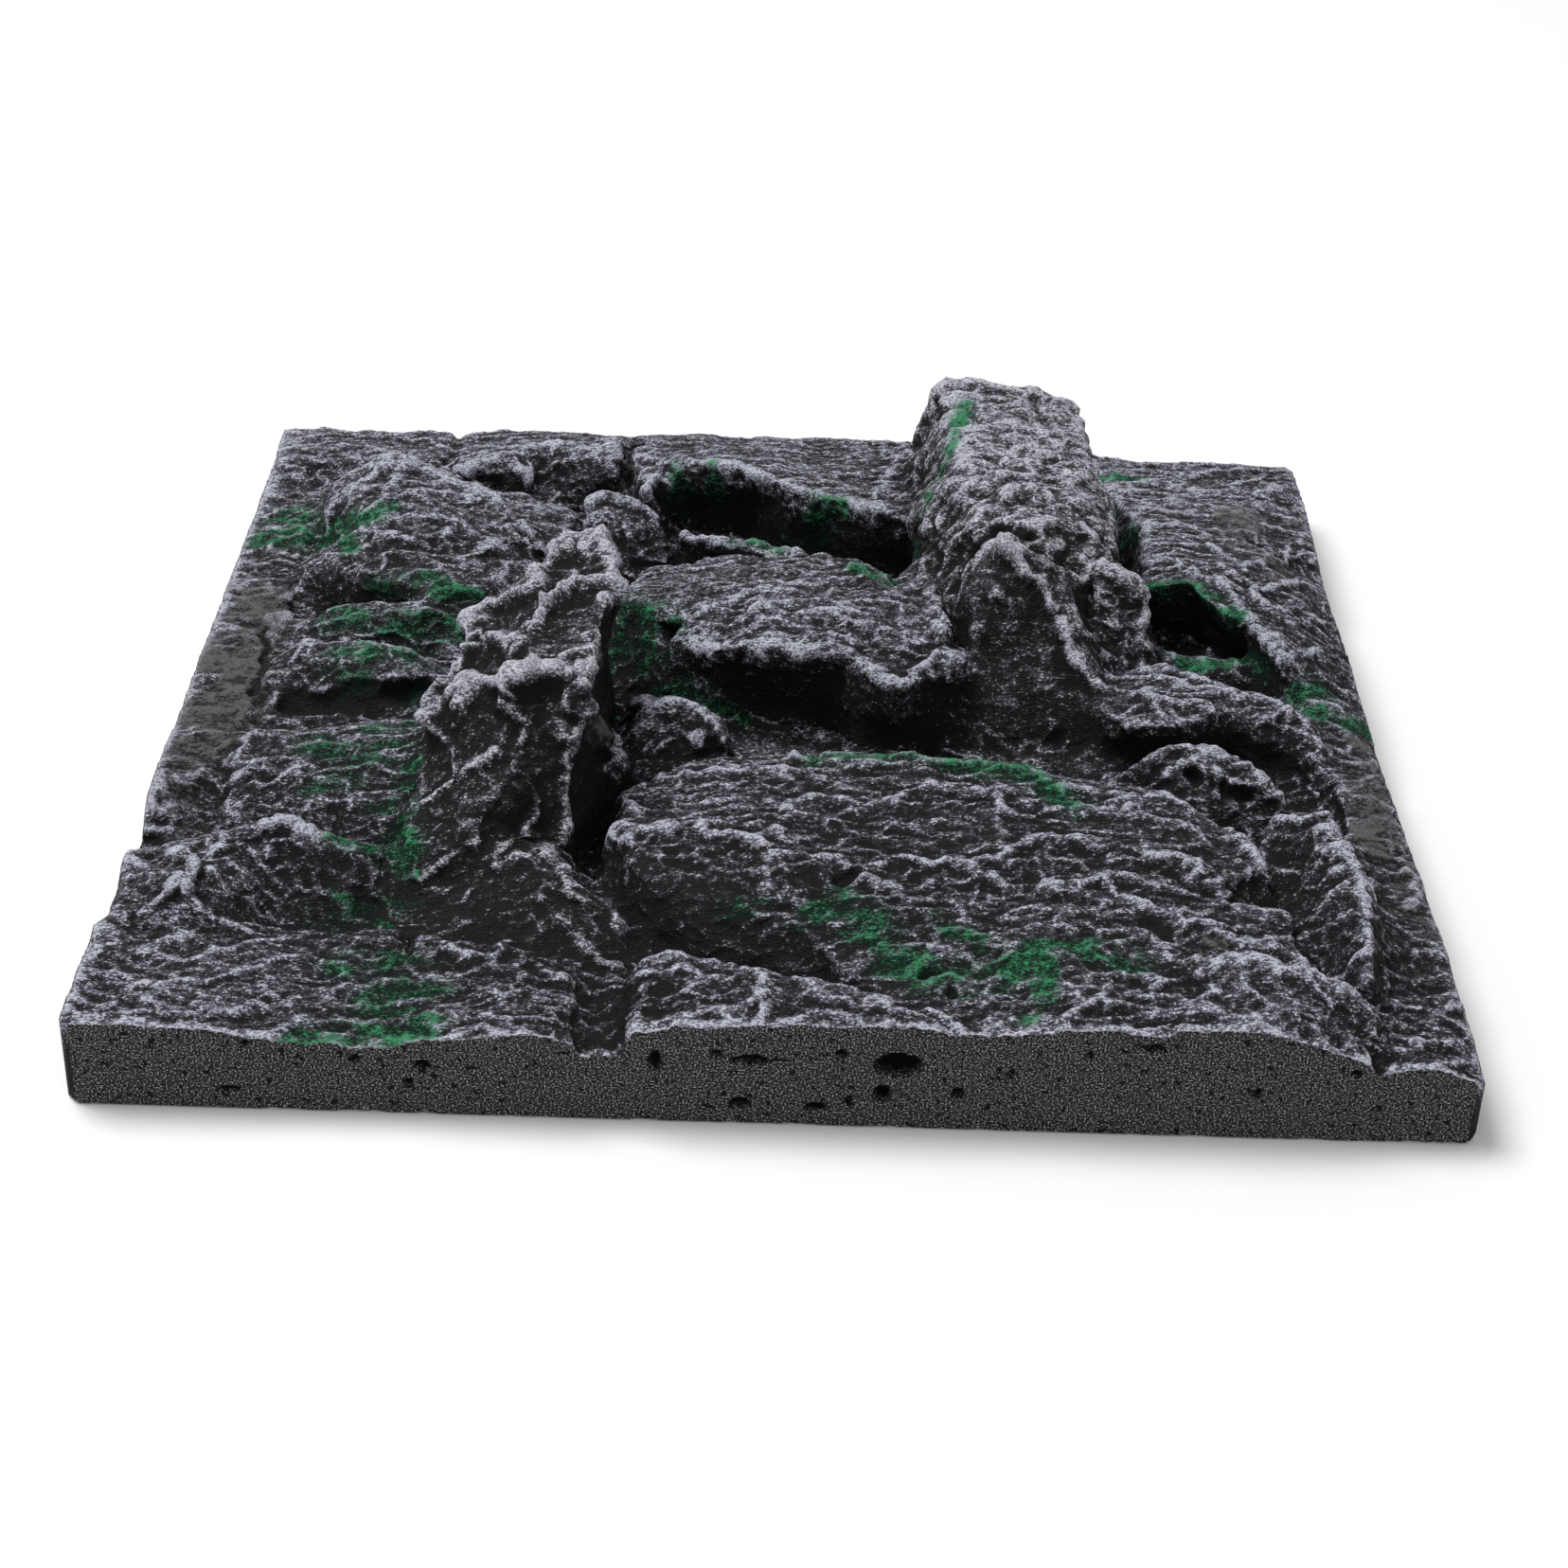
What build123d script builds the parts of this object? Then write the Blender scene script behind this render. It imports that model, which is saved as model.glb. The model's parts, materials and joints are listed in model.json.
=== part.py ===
"""Rock-relief background panel for a terrarium or aquarium, lying on its back.

The panel is a square slab of cut rigid foam. Its front face is a relief of stones with two
climbing ledges that stand well clear of the rest. The origin is the centre of the flat back
face, +Z points out of the relief, +Y runs up the panel when it is hung in a tank. Millimetres.

Every stone is a convex solid through its crest points and its foot outline. Neighbouring
stones grow into one another, so the relief is first thought of as one mass and then divided
along its crevices: each block owns a plot of the backing, the plots tile the square exactly,
and a block is the mass of all stones that reach over its plot.
"""

import os

from build123d import *

# Driving dimensions
SIDE = 300.0  # length and width of the square panel
HALF = SIDE / 2
BACKING = 12.0  # plain backing under the stones, which is also the floor of the hollows
KEY = 8.0  # level to which the stones' feet are drawn down inside the backing
CORNER_R = 3.0  # upright corners of the cut square
OVERRUN = 2.0  # stones at the rim are drawn past the cut faces and trimmed flush
E = HALF + OVERRUN
SKY = 90.0  # anything above the highest ledge
REACH = 1.0  # stones nearer to a plot than this are tried against it

blocks = []


def stone(crest, foot):
    """Convex stone through its crest points, standing on its foot outline."""
    return list(crest) + [(x, y, KEY) for x, y in foot]


def block(name, plot, *stones):
    """One named block of the relief: its plot on the backing and the stones it brings."""
    blocks.append((name, plot, stones))


# ---------------------------------------------------------------- front edge, left to right

# Low bed that runs out flat to the cut face, with a slight dip towards its right end
block(
    "front_left_bed",
    [(-E, -E), (-84, -E), (-88, -105), (-113, -104), (-122, -115), (-E, -112)],
    stone(
        [(-E, -E, 20.5), (-137, -E, 20.5), (-119, -E, 20.5), (-109, -E, 18),
         (-150, -113, 21), (-130, -110, 20), (-109, -109, 18)],
        [(-E, -E), (-98, -E), (-95, -100), (-E, -95)],
    ),
    stone(
        [(-114, -E, 18.5), (-103, -E, 16.8), (-91, -E, 16.3), (-81, -E, 17),
         (-108, -111, 19), (-85, -109, 18)],
        [(-115, -E), (-76, -E), (-80, -100), (-112, -100)],
    ),
)

# Bed under the lower ledge, ending in the floor of the gully that opens at the cut face
block(
    "front_bed",
    [(-84, -E), (-33, -E), (-31, -124), (-36, -116), (-60, -114), (-88, -105)],
    stone(
        [(-84, -E, 16.5), (-73, -E, 19.3), (-51, -E, 20.6), (-43, -E, 19),
         (-80, -109, 18), (-60, -115, 19), (-46, -118, 17)],
        [(-88, -E), (-37, -E), (-38, -118), (-82, -104)],
    ),
    stone(
        [(-39, -E, 15.8), (-31, -E, 16), (-36, -113, 15)],
        [(-44, -E), (-28, -E), (-28, -120), (-44, -110)],
    ),
)

# Long boulder cut through by the front face, highest at its right end
block(
    "front_boulder",
    [(-33, -E), (40, -E), (22, -138), (12, -131), (0, -127), (-29, -112), (-31, -124)],
    stone(
        [(-32, -128, 22), (-28, -126, 25), (-22, -125, 27), (-10, -128, 27), (0, -132, 27),
         (15, -137, 26), (30, -140, 25), (39, -147, 25), (-30, -E, 20.5), (-24, -E, 21.5),
         (-19, -E, 23.5), (-3, -E, 24.6), (11, -E, 25.4), (29, -E, 26), (40, -E, 24.5)],
        [(-36, -E), (-36, -130), (-24, -120), (4, -128), (34, -142), (46, -E)],
    ),
)

# Front lobe of the plateau: a stepped shoulder with a rib that runs out to the cut face
block(
    "plateau_front",
    [(40, -E), (82, -E), (88, -130), (100, -122), (117, -124), (113, -100), (80, -98),
     (60, -100), (40, -106), (10, -117), (12, -131), (22, -138)],
    stone(
        [(58, -101, 30), (66, -99, 30), (73, -96, 31), (85, -107, 28), (98, -111, 28),
         (113, -101, 26), (116, -119, 25), (96, -119, 25), (39, -111, 25), (40, -E, 24.5),
         (55, -E, 24.5), (82, -E, 25.5)],
        [(58, -98), (76, -92), (118, -100), (124, -130), (120, -E), (36, -E), (36, -118)],
    ),
    stone(
        [(29, -104, 27), (10, -118, 24), (22, -126, 23), (32, -136, 23), (44, -111, 25),
         (54, -107, 25), (34, -E, 23.5), (44, -E, 24.5), (58, -E, 24.5)],
        [(26, -106), (6, -126), (30, -E), (62, -E), (62, -108)],
    ),
    stone(
        [(49, -120, 29), (55, -124, 30), (60, -122, 30), (68, -121, 29), (74, -125, 27),
         (55, -135, 27), (64, -E, 26), (52, -E, 25), (74, -E, 26)],
        [(44, -116), (84, -118), (72, -E), (46, -E)],
    ),
)

# Rounded boulder at the right of the front face
block(
    "front_right_boulder",
    [(82, -E), (130, -E), (130, -132), (124, -124), (117, -124), (100, -122), (88, -130)],
    stone(
        [(91, -127, 26), (94, -127, 30), (100, -126, 31), (107, -129, 31), (115, -131, 30),
         (120, -132, 28), (127, -134, 24), (82, -E, 27), (93, -E, 25.5), (101, -E, 26.5),
         (111, -E, 24.5), (118, -E, 20.5), (126, -E, 17.5)],
        [(86, -120), (98, -112), (124, -120), (136, -134), (132, -E), (82, -E)],
    ),
)

# ---------------------------------------------------------------- left side, front to back

# Small three-sided peak near the front left corner
block(
    "left_peak",
    [(-E, -112), (-122, -115), (-113, -104), (-120, -88), (-E, -92)],
    stone(
        [(-133, -103, 28), (-146, -96, 24), (-120, -88, 24), (-147, -112, 20),
         (-132, -110, 18), (-117, -111, 17)],
        [(-E, -128), (-112, -128), (-108, -90), (-E, -85)],
    ),
)

# Arched crest behind the peak
block(
    "left_crest",
    [(-E, -92), (-120, -88), (-113, -104), (-88, -105), (-92, -78), (-90, -70),
     (-130, -64), (-E, -66)],
    stone(
        [(-123, -82, 28), (-114, -82, 29), (-106, -85, 27), (-97, -87, 25), (-90, -84, 22),
         (-138, -88, 25), (-149, -87, 22), (-118, -90, 20), (-101, -94, 17)],
        [(-E, -75), (-150, -100), (-98, -112), (-84, -92), (-90, -64), (-130, -60)],
    ),
)

# Three terraces that climb the left side in front of the crag
block(
    "left_lower_terrace",
    [(-130, -64), (-90, -70), (-86, -52), (-85, -10), (-131, -10)],
    stone(
        [(-125, -31, 24), (-94, -27, 24), (-85, -40, 23), (-88, -60, 20), (-110, -65, 21),
         (-131, -52, 21), (-134, -30, 20)],
        [(-138, -20), (-130, -70), (-84, -75), (-76, -40), (-80, -8), (-125, -8)],
    ),
)
block(
    "left_middle_terrace",
    [(-131, -10), (-85, -10), (-79, 8), (-79, 19), (-130, 18)],
    stone(
        [(-125, 15, 26), (-110, 7, 29), (-102, 8, 29), (-88, 5, 28), (-83, 2, 26),
         (-83, -5, 24), (-104, -8, 24), (-117, -5, 24), (-131, -2, 21)],
        [(-133, 18), (-132, -8), (-105, -10), (-78, -8), (-78, 10), (-95, 22)],
    ),
)
block(
    "left_upper_terrace",
    [(-130, 18), (-79, 19), (-74, 34), (-96, 36), (-130, 50)],
    stone(
        [(-124, 33, 27), (-107, 25, 29), (-93, 24, 29), (-82, 30, 28), (-83, 24, 23),
         (-109, 22, 23), (-127, 27, 23)],
        [(-132, 38), (-132, 18), (-76, 18), (-76, 40), (-110, 44)],
    ),
)

# Flat strip along the left edge, parted from the terraces by a straight crack
block(
    "left_edge_strip",
    [(-E, -66), (-130, -64), (-131, -10), (-130, 18), (-130, 50), (-131, 78),
     (-134, 118), (-E, 118)],
    stone(
        [(-150, 150, 20), (-136, 100, 20), (-131, 67, 19.5), (-133, 21, 19.5),
         (-134, -38, 19), (-E, -60, 19), (-E, E, 20), (-140, E, 20)],
        [(-E, -70), (-128, -60), (-128, 70), (-130, E), (-E, E)],
    ),
)

# Undercut step at the foot of the crag
block(
    "crag_step",
    [(-130, 50), (-96, 36), (-74, 34), (-60, 50), (-60, 62), (-72, 62), (-82, 52),
     (-114, 59), (-131, 78)],
    stone(
        [(-127, 50, 29), (-112, 40, 31), (-97, 33, 31), (-80, 31, 30), (-65, 46, 27),
         (-76, 62, 29), (-112, 64, 29)],
        [(-134, 52), (-112, 48), (-84, 36), (-60, 50), (-60, 90), (-130, 90)],
    ),
)

# Crag with the highest point of the left side, and its lower right shoulder
block(
    "crag",
    [(-131, 78), (-114, 59), (-82, 52), (-72, 62), (-86, 84), (-88, 108), (-98, 120),
     (-134, 118)],
    stone(
        [(-109, 99, 38), (-122, 93, 33), (-128, 91, 27), (-115, 58, 32), (-96, 53, 34),
         (-83, 50, 32), (-74, 62, 31), (-80, 74, 32), (-87, 80, 33), (-97, 94, 35),
         (-102, 98, 36)],
        [(-142, 128), (-142, 100), (-124, 66), (-100, 62), (-74, 58), (-66, 84),
         (-84, 124), (-112, 132)],
    ),
)
block(
    "crag_shoulder",
    [(-72, 62), (-60, 62), (-57, 90), (-60, 111), (-73, 110), (-88, 108), (-86, 84)],
    stone(
        [(-81, 78, 30), (-68, 61, 28), (-61, 65, 28), (-59, 84, 28), (-75, 97, 27),
         (-86, 97, 27)],
        [(-88, 70), (-58, 62), (-50, 90), (-60, 118), (-90, 120)],
    ),
)

# ---------------------------------------------------------------- back edge, left to right

block(
    "back_left_corner",
    [(-E, 118), (-134, 118), (-98, 120), (-98, E), (-E, E)],
    stone(
        [(-147, 122, 23), (-121, 131, 24), (-99, 127, 24), (-E, E, 20.5), (-100, E, 20.5)],
        [(-E, 100), (-120, 104), (-96, 120), (-96, E), (-E, E)],
    ),
)

# Arched rib with a hollow on each side
block(
    "arched_rib",
    [(-98, 120), (-88, 108), (-73, 110), (-80, 128), (-86, E), (-98, E)],
    stone(
        [(-96, 112, 27), (-89, 111, 27), (-82, 121, 29), (-78, 117, 29), (-75, 111, 26),
         (-77, 112, 22), (-97, E, 20), (-84, E, 20)],
        [(-104, 116), (-72, 108), (-70, 140), (-84, E), (-100, E)],
    ),
)

# Wall with a steep face towards the middle of the panel
block(
    "back_left_wall",
    [(-86, E), (-80, 128), (-73, 110), (-60, 111), (-46, 112), (-46, E)],
    stone(
        [(-80, 124, 29), (-64, 121, 31), (-50, 118, 31), (-49, 113, 28), (-79, 120, 20),
         (-64, 120, 19), (-88, E, 21), (-45, E, 21)],
        [(-88, E), (-42, E), (-44, 112), (-80, 108)],
    ),
)

# Upright block between the crag and the centre terrace
block(
    "back_block",
    [(-60, 62), (-46, 58), (-31, 66), (-29, 84), (-34, 98), (-46, 112), (-60, 111),
     (-57, 90)],
    stone(
        [(-55, 76, 32), (-53, 84, 34), (-44, 83, 34), (-37, 80, 32), (-33, 77, 28),
         (-36, 76, 20), (-57, 72, 22)],
        [(-62, 90), (-62, 58), (-30, 58), (-28, 88), (-40, 100)],
    ),
)

# Back terrace, whose lip hangs over the back hollow, with a thin rib at its left end
block(
    "back_terrace",
    [(-46, E), (-46, 112), (-34, 98), (0, 86), (36, 70), (32, 118), (40, 146), (42, E)],
    stone(
        [(-37, 106, 33), (-29, 104, 36), (-14, 99, 37), (-9, 97, 37), (-46, E, 22),
         (0, E, 22)],
        [(-40, 108), (-30, 108), (-8, 101), (4, E), (-44, E)],
    ),
    stone(
        [(-13, 98, 37), (-5, 91, 37), (5, 85, 36), (-12, E, 22), (12, E, 22)],
        [(-12, 100), (-2, 96), (8, 88), (12, E), (-14, E)],
    ),
    stone(
        [(0, 87, 37), (11, 81, 36), (26, 77, 36), (35, 69, 35), (-2, E, 22), (44, E, 22)],
        [(0, 90), (14, 82), (36, 70), (44, 80), (44, E), (-4, E)],
    ),
    stone(
        [(-45, 128, 28), (-41, 129, 28), (-36, 107, 31), (-39, 96, 30), (-42, 111, 28)],
        [(-50, 140), (-46, 96), (-32, 92), (-32, 140)],
    ),
)

# Long slope that falls to the back edge and the back right corner
block(
    "back_right_slope",
    [(42, E), (40, 146), (50, 146), (86, 132), (93, 98), (92, 84), (E, 84), (E, E)],
    stone(
        [(50, 148, 22), (87, 143, 23), (38, E, 21), (92, E, 19)],
        [(38, E), (38, 140), (52, 128), (92, 122), (96, E)],
    ),
    stone(
        [(98, 84, 28), (120, 86, 27), (147, 90, 20), (88, E, 19), (130, E, 17),
         (140, E, 18), (E, E, 17)],
        [(88, E), (E, E), (E, 70), (94, 70)],
    ),
)

# ---------------------------------------------------------------- middle

# Low saddle behind the tip of the lower ledge
block(
    "saddle",
    [(-79, 19), (-62, 16), (-46, 14), (-46, 58), (-60, 62), (-60, 50), (-74, 34)],
    stone(
        [(-76, 36, 22), (-60, 54, 23), (-48, 62, 19), (-48, 36, 17)],
        [(-82, 16), (-46, 12), (-44, 60), (-62, 66), (-80, 40)],
    ),
)

# Domed centre terrace, undercut all along its front lip
block(
    "centre_terrace",
    [(-46, 14), (-42, -8), (-18, -10), (0, -22), (20, -30), (46, -30), (46, 10), (38, 12),
     (30, 54), (12, 67), (0, 60), (-24, 66), (-31, 66), (-46, 58)],
    stone(
        [(-44, 25, 33), (-35, 21, 35), (-29, 16, 34), (-24, 8, 32), (-21, 2, 31),
         (-12, -3, 33), (-10, 13, 37), (-25, 33, 34), (-24, 56, 28), (-39, 54, 26)],
        [(-48, 48), (-47, 12), (-30, 6), (-20, -2), (-6, 0), (-8, 60), (-30, 66)],
    ),
    stone(
        [(-17, -3, 33), (-5, -4, 36), (11, -6, 36), (16, -7, 35), (19, 4, 39),
         (-8, 14, 38), (0, 41, 35), (10, 54, 32), (-8, 54, 31), (21, 39, 33)],
        [(-22, 4), (-10, -1), (12, -3), (20, 0), (28, 50), (10, 70), (-14, 66)],
    ),
    stone(
        [(16, -10, 33), (21, -15, 34), (29, -19, 34), (35, -14, 33), (38, -9, 36),
         (44, -9, 36), (29, 29, 36), (17, 6, 38)],
        [(14, -4), (24, -14), (34, -16), (50, -12), (50, 40), (20, 46)],
    ),
    stone(
        [(-29, 35, 33), (-8, 14, 38), (19, 4, 39), (29, 31, 35), (17, 48, 33), (0, 50, 33),
         (-23, 58, 29), (9, -1, 37)],
        [(-34, 50), (-20, 4), (20, 2), (38, 10), (34, 50), (12, 70), (-26, 68)],
    ),
)

# Thin ridge that parts the centre terrace from the back hollow
block(
    "hollow_ridge",
    [(-31, 66), (-24, 66), (0, 60), (12, 67), (30, 54), (36, 70), (0, 86), (-34, 98),
     (-29, 84)],
    stone(
        [(-30, 73, 29), (-20, 65, 30), (-8, 63, 30), (6, 59, 30), (0, 56, 28)],
        [(-34, 88), (-26, 68), (10, 62), (14, 72), (-12, 84)],
    ),
)

# Small dome beside the lower ledge, with a lobe that closes the gap to it
block(
    "dome",
    [(-42, -8), (-18, -10), (-8, -24), (-8, -38), (-22, -52), (-40, -60), (-42, -58)],
    stone(
        [(-37, -20, 28), (-29, -26, 32), (-23, -26, 32), (-17, -29, 31), (-14, -31, 27),
         (-21, -37, 27), (-35, -34, 26)],
        [(-46, -20), (-38, -16), (-18, -16), (-8, -26), (-10, -44), (-22, -54), (-44, -50)],
    ),
    stone(
        [(-48, -32, 28), (-42, -32, 28), (-38, -43, 28), (-40, -48, 25), (-48, -48, 26)],
        [(-52, -34), (-38, -32), (-34, -50), (-40, -62), (-52, -58)],
    ),
)

# Broad plateau that fills the front right of the panel
block(
    "plateau",
    [(-42, -58), (-40, -60), (-22, -52), (-8, -38), (-8, -24), (-18, -10), (0, -22),
     (20, -30), (46, -30), (79, -31), (72, -40), (84, -52), (98, -58), (107, -68),
     (113, -100), (80, -98), (60, -100), (40, -106), (10, -117), (12, -131), (0, -127),
     (-29, -112), (-44, -92), (-45, -72)],
    stone(
        [(-39, -61, 27), (-38, -77, 28), (-32, -91, 27), (-24, -100, 26), (-10, -105, 26),
         (0, -110, 25), (-24, -84, 30), (0, -84, 30), (-14, -42, 27), (2, -46, 28),
         (20, -42, 28), (29, -102, 28), (16, -95, 30)],
        [(-46, -64), (-44, -92), (-28, -112), (0, -128), (36, -126), (40, -44), (20, -36),
         (-20, -36), (-30, -50)],
    ),
    stone(
        [(18, -42, 28), (29, -44, 29), (44, -46, 28), (58, -46, 29), (64, -53, 28),
         (58, -82, 30), (32, -105, 28), (10, -117, 25), (0, -107, 25), (2, -53, 28),
         (59, -98, 28)],
        [(0, -40), (20, -34), (62, -38), (72, -60), (70, -110), (24, -144), (-4, -122)],
    ),
    stone(
        [(59, -47, 28), (73, -58, 29), (83, -62, 30), (92, -61, 30), (100, -67, 29),
         (106, -73, 28), (110, -86, 27), (82, -85, 31), (58, -82, 30), (57, -96, 28),
         (96, -100, 28)],
        [(58, -44), (96, -52), (112, -70), (116, -108), (60, -108)],
    ),
)

# ---------------------------------------------------------------- right side, front to back

# Long ribbed ridge beside the plateau
block(
    "right_ridge",
    [(107, -68), (126, -60), (134, -60), (136, -118), (130, -132), (124, -124),
     (117, -124), (113, -100)],
    stone(
        [(112, -64, 24), (117, -67, 28), (123, -67, 31), (127, -68, 31), (130, -82, 31),
         (130, -97, 31), (128, -120, 30), (127, -129, 28), (118, -100, 20)],
        [(106, -70), (126, -58), (142, -62), (142, -118), (130, -132), (112, -124)],
    ),
)

# Low strip along the right edge
block(
    "right_edge_strip",
    [(130, -E), (E, -E), (E, 22), (143, 18), (132, 2), (134, 0), (134, -31), (134, -60),
     (136, -118), (130, -132)],
    stone(
        [(146, -18, 19), (147, -58, 19), (148, -117, 18), (134, 0, 19), (134, -60, 20),
         (132, -130, 18), (132, -E, 19), (139, -E, 18.5), (145, -E, 14.5), (E, -E, 13.5),
         (126, -E, 17)],
        [(134, 10), (E, 10), (E, -E), (124, -E), (130, -60)],
    ),
    stone(
        [(140, -4, 21), (148, 19, 18), (131, 3, 24)],
        [(128, 10), (140, -30), (E, -30), (E, 30), (130, 24)],
    ),
)

# Rounded boulder between the plateau and the shelf
block(
    "middle_boulder",
    [(79, -31), (134, -31), (134, -60), (126, -60), (107, -68), (98, -58), (84, -52),
     (72, -40)],
    stone(
        [(77, -46, 24), (83, -43, 28), (88, -41, 29), (97, -38, 30), (107, -38, 29),
         (113, -40, 28), (120, -47, 24), (107, -47, 22), (89, -47, 22)],
        [(70, -44), (84, -32), (112, -30), (126, -44), (122, -62), (80, -62)],
    ),
)

# Shelf with an undercut front, at the foot of the upper ledge
block(
    "shelf",
    [(79, -31), (134, -31), (134, 0), (132, 2), (125, 6), (96, 12), (80, 10)],
    stone(
        [(95, 8, 29), (102, 2, 30), (111, -5, 30), (103, -18, 29), (95, -29, 29),
         (84, -26, 28), (77, -14, 28), (82, 2, 28), (109, -17, 29)],
        [(78, 6), (80, -14), (96, -18), (112, -8), (122, 4), (104, 9), (84, 11)],
    ),
    stone(
        [(110, -2, 29), (117, -8, 29), (122, -10, 29), (128, -14, 29), (130, -19, 28),
         (133, -31, 22), (127, -23, 22), (109, -14, 28)],
        [(104, -2), (118, -18), (140, -30), (142, -4), (128, 14), (108, 12)],
    ),
)

# Low step inside the right hollow
block(
    "hollow_step",
    [(96, 12), (125, 6), (121, 23), (94, 43), (97, 24)],
    stone(
        [(96, 25, 24), (111, 20, 24), (124, 21, 24), (125, 16, 22), (103, 19, 23)],
        [(96, 24), (104, 12), (128, 10), (128, 26), (98, 32)],
    ),
)

# Slope between the right hollow and the right edge
block(
    "right_slope",
    [(121, 23), (125, 6), (132, 2), (143, 18), (E, 22), (E, 62), (143, 60)],
    stone(
        [(121, 22, 33), (125, 17, 32), (128, 10, 31), (125, 5, 28), (148, 24, 18),
         (147, 62, 20), (133, 45, 28)],
        [(124, 36), (126, 0), (E, 0), (E, 50)],
    ),
)

# Plateau behind the right hollow, whose lip hangs over it
block(
    "right_plateau",
    [(94, 62), (94, 43), (121, 23), (143, 60), (E, 62), (E, 84), (92, 84), (90, 72),
     (88, 62)],
    stone(
        [(94, 42, 31), (99, 42, 33), (104, 44, 33), (107, 44, 33), (126, 60, 29),
         (119, 84, 28), (98, 84, 28)],
        [(94, 64), (112, 54), (E, 60), (E, 100), (94, 100)],
    ),
    stone(
        [(106, 44, 33), (109, 37, 33), (114, 29, 33), (121, 22, 33), (137, 46, 27),
         (147, 60, 20), (119, 84, 28)],
        [(110, 54), (124, 34), (E, 30), (E, 96), (112, 96)],
    ),
)

# ---------------------------------------------------------------- lower climbing ledge

# Fin with an upright right face, a ridge along the top and a rounded left shoulder
block(
    "lower_ledge",
    [(-86, -52), (-85, -10), (-79, 8), (-79, 19), (-62, 16), (-46, 14), (-42, -8),
     (-42, -58)],
    stone(
        [(-49, 9, 58), (-45, 8, 58), (-42, 5, 57), (-41, -29, 57), (-44, -50, 54),
         (-60, -48, 52), (-56, 9, 55), (-61, -4, 54), (-65, -9, 50), (-72, -4, 46), (-75, -11, 42), (-77, -21, 40),
         (-83, -34, 35), (-84, -53, 28)],
        [(-45, 4), (-58, 12), (-76, 8), (-86, -10), (-88, -40), (-86, -68), (-46, -70)],
    ),
)

# Rounded front lobe of the fin, which leans out over the buttress
block(
    "lower_ledge_front",
    [(-90, -70), (-86, -52), (-42, -58), (-45, -72), (-52, -86), (-88, -92), (-92, -78)],
    stone(
        [(-54, -56, 57), (-49, -58, 57), (-46, -60, 54), (-60, -57, 56), (-67, -57, 53),
         (-73, -53, 50), (-78, -52, 45), (-81, -53, 42), (-88, -81, 22), (-80, -90, 22),
         (-69, -84, 24), (-51, -79, 24), (-50, -70, 38)],
        [(-90, -60), (-88, -88), (-50, -86), (-46, -56)],
    ),
)

# Ribbed buttress that spreads from the fin down to the gully
block(
    "lower_buttress",
    [(-92, -78), (-88, -92), (-52, -86), (-45, -72), (-44, -92), (-29, -112), (-31, -124),
     (-36, -116), (-60, -114), (-88, -105)],
    stone(
        [(-90, -81, 22), (-53, -85, 26), (-45, -96, 24), (-45, -102, 21), (-40, -108, 17),
         (-31, -104, 14), (-61, -106, 15), (-87, -98, 16)],
        [(-94, -74), (-48, -70), (-34, -96), (-30, -122), (-60, -122), (-92, -114)],
    ),
)

# ---------------------------------------------------------------- upper climbing ledge

# Tall ledge that runs up the panel
block(
    "upper_ledge",
    [(48, 20), (78, 20), (88, 62), (90, 72), (92, 84), (93, 98), (86, 132), (50, 146),
     (40, 146), (32, 118), (36, 70), (30, 54), (38, 12), (46, 10)],
    stone(
        [(37, 52, 42), (36, 73, 38), (41, 74, 44), (60, 23, 54), (49, 24, 50),
         (75, 26, 49), (83, 34, 48), (84, 52, 48), (39, 40, 44), (47, 42, 53),
         (76, 42, 53), (41, 115, 56), (54, 114, 58), (70, 111, 57), (80, 106, 54)],
        [(30, 60), (28, 90), (32, 118), (48, 134), (84, 128), (92, 96), (94, 30),
         (60, -4), (38, 10)],
    ),
    stone(
        [(30, 43, 30), (33, 47, 34), (36, 53, 36), (38, 31, 38), (34, 10, 36), (42, 6, 38)],
        [(26, 70), (28, 30), (50, 10), (50, 70)],
    ),
    stone(
        [(29, 103, 26), (32, 123, 28), (37, 128, 30), (42, 106, 36), (42, 86, 36)],
        [(24, 100), (26, 146), (52, 148), (50, 98)],
    ),
)

# Rounded toe in front of it, leaning back from the floor of the centre hollow
block(
    "upper_ledge_toe",
    [(46, -30), (79, -31), (80, 10), (78, 20), (48, 20), (46, 10)],
    stone(
        [(49, 12, 54), (52, 14, 56), (59, 15, 56), (65, 15, 54), (69, 14, 50), (69, 8, 42),
         (75, -2, 32), (80, -7, 27), (47, 9, 44), (48, 4, 34), (53, -12, 14), (67, -12, 13),
         (79, -9, 15)],
        [(46, 40), (46, -16), (84, -16), (86, 40)],
    ),
)

# Side lobe between the ledge and the right hollow
block(
    "upper_ledge_lobe",
    [(80, 10), (96, 12), (97, 24), (94, 43), (94, 62), (88, 62), (78, 20)],
    stone(
        [(78, 25, 46), (83, 24, 46), (91, 25, 42), (94, 13, 29), (81, 10, 28), (77, 18, 42)],
        [(78, 60), (80, 0), (98, 4), (98, 64)],
    ),
)


def slab(bottom, top):
    """The cut square between two levels, with its rounded upright corners."""
    outline = RectangleRounded(SIDE, SIDE, CORNER_R)
    return extrude(Pos(0, 0, bottom) * outline, top - bottom)


def touches(points, plot):
    """True if a stone's plan box comes within REACH of a plot's plan box."""
    for axis in (0, 1):
        low = max(min(p[axis] for p in points), min(p[axis] for p in plot))
        high = min(max(p[axis] for p in points), max(p[axis] for p in plot))
        if low > high + REACH:
            return False
    return True


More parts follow.
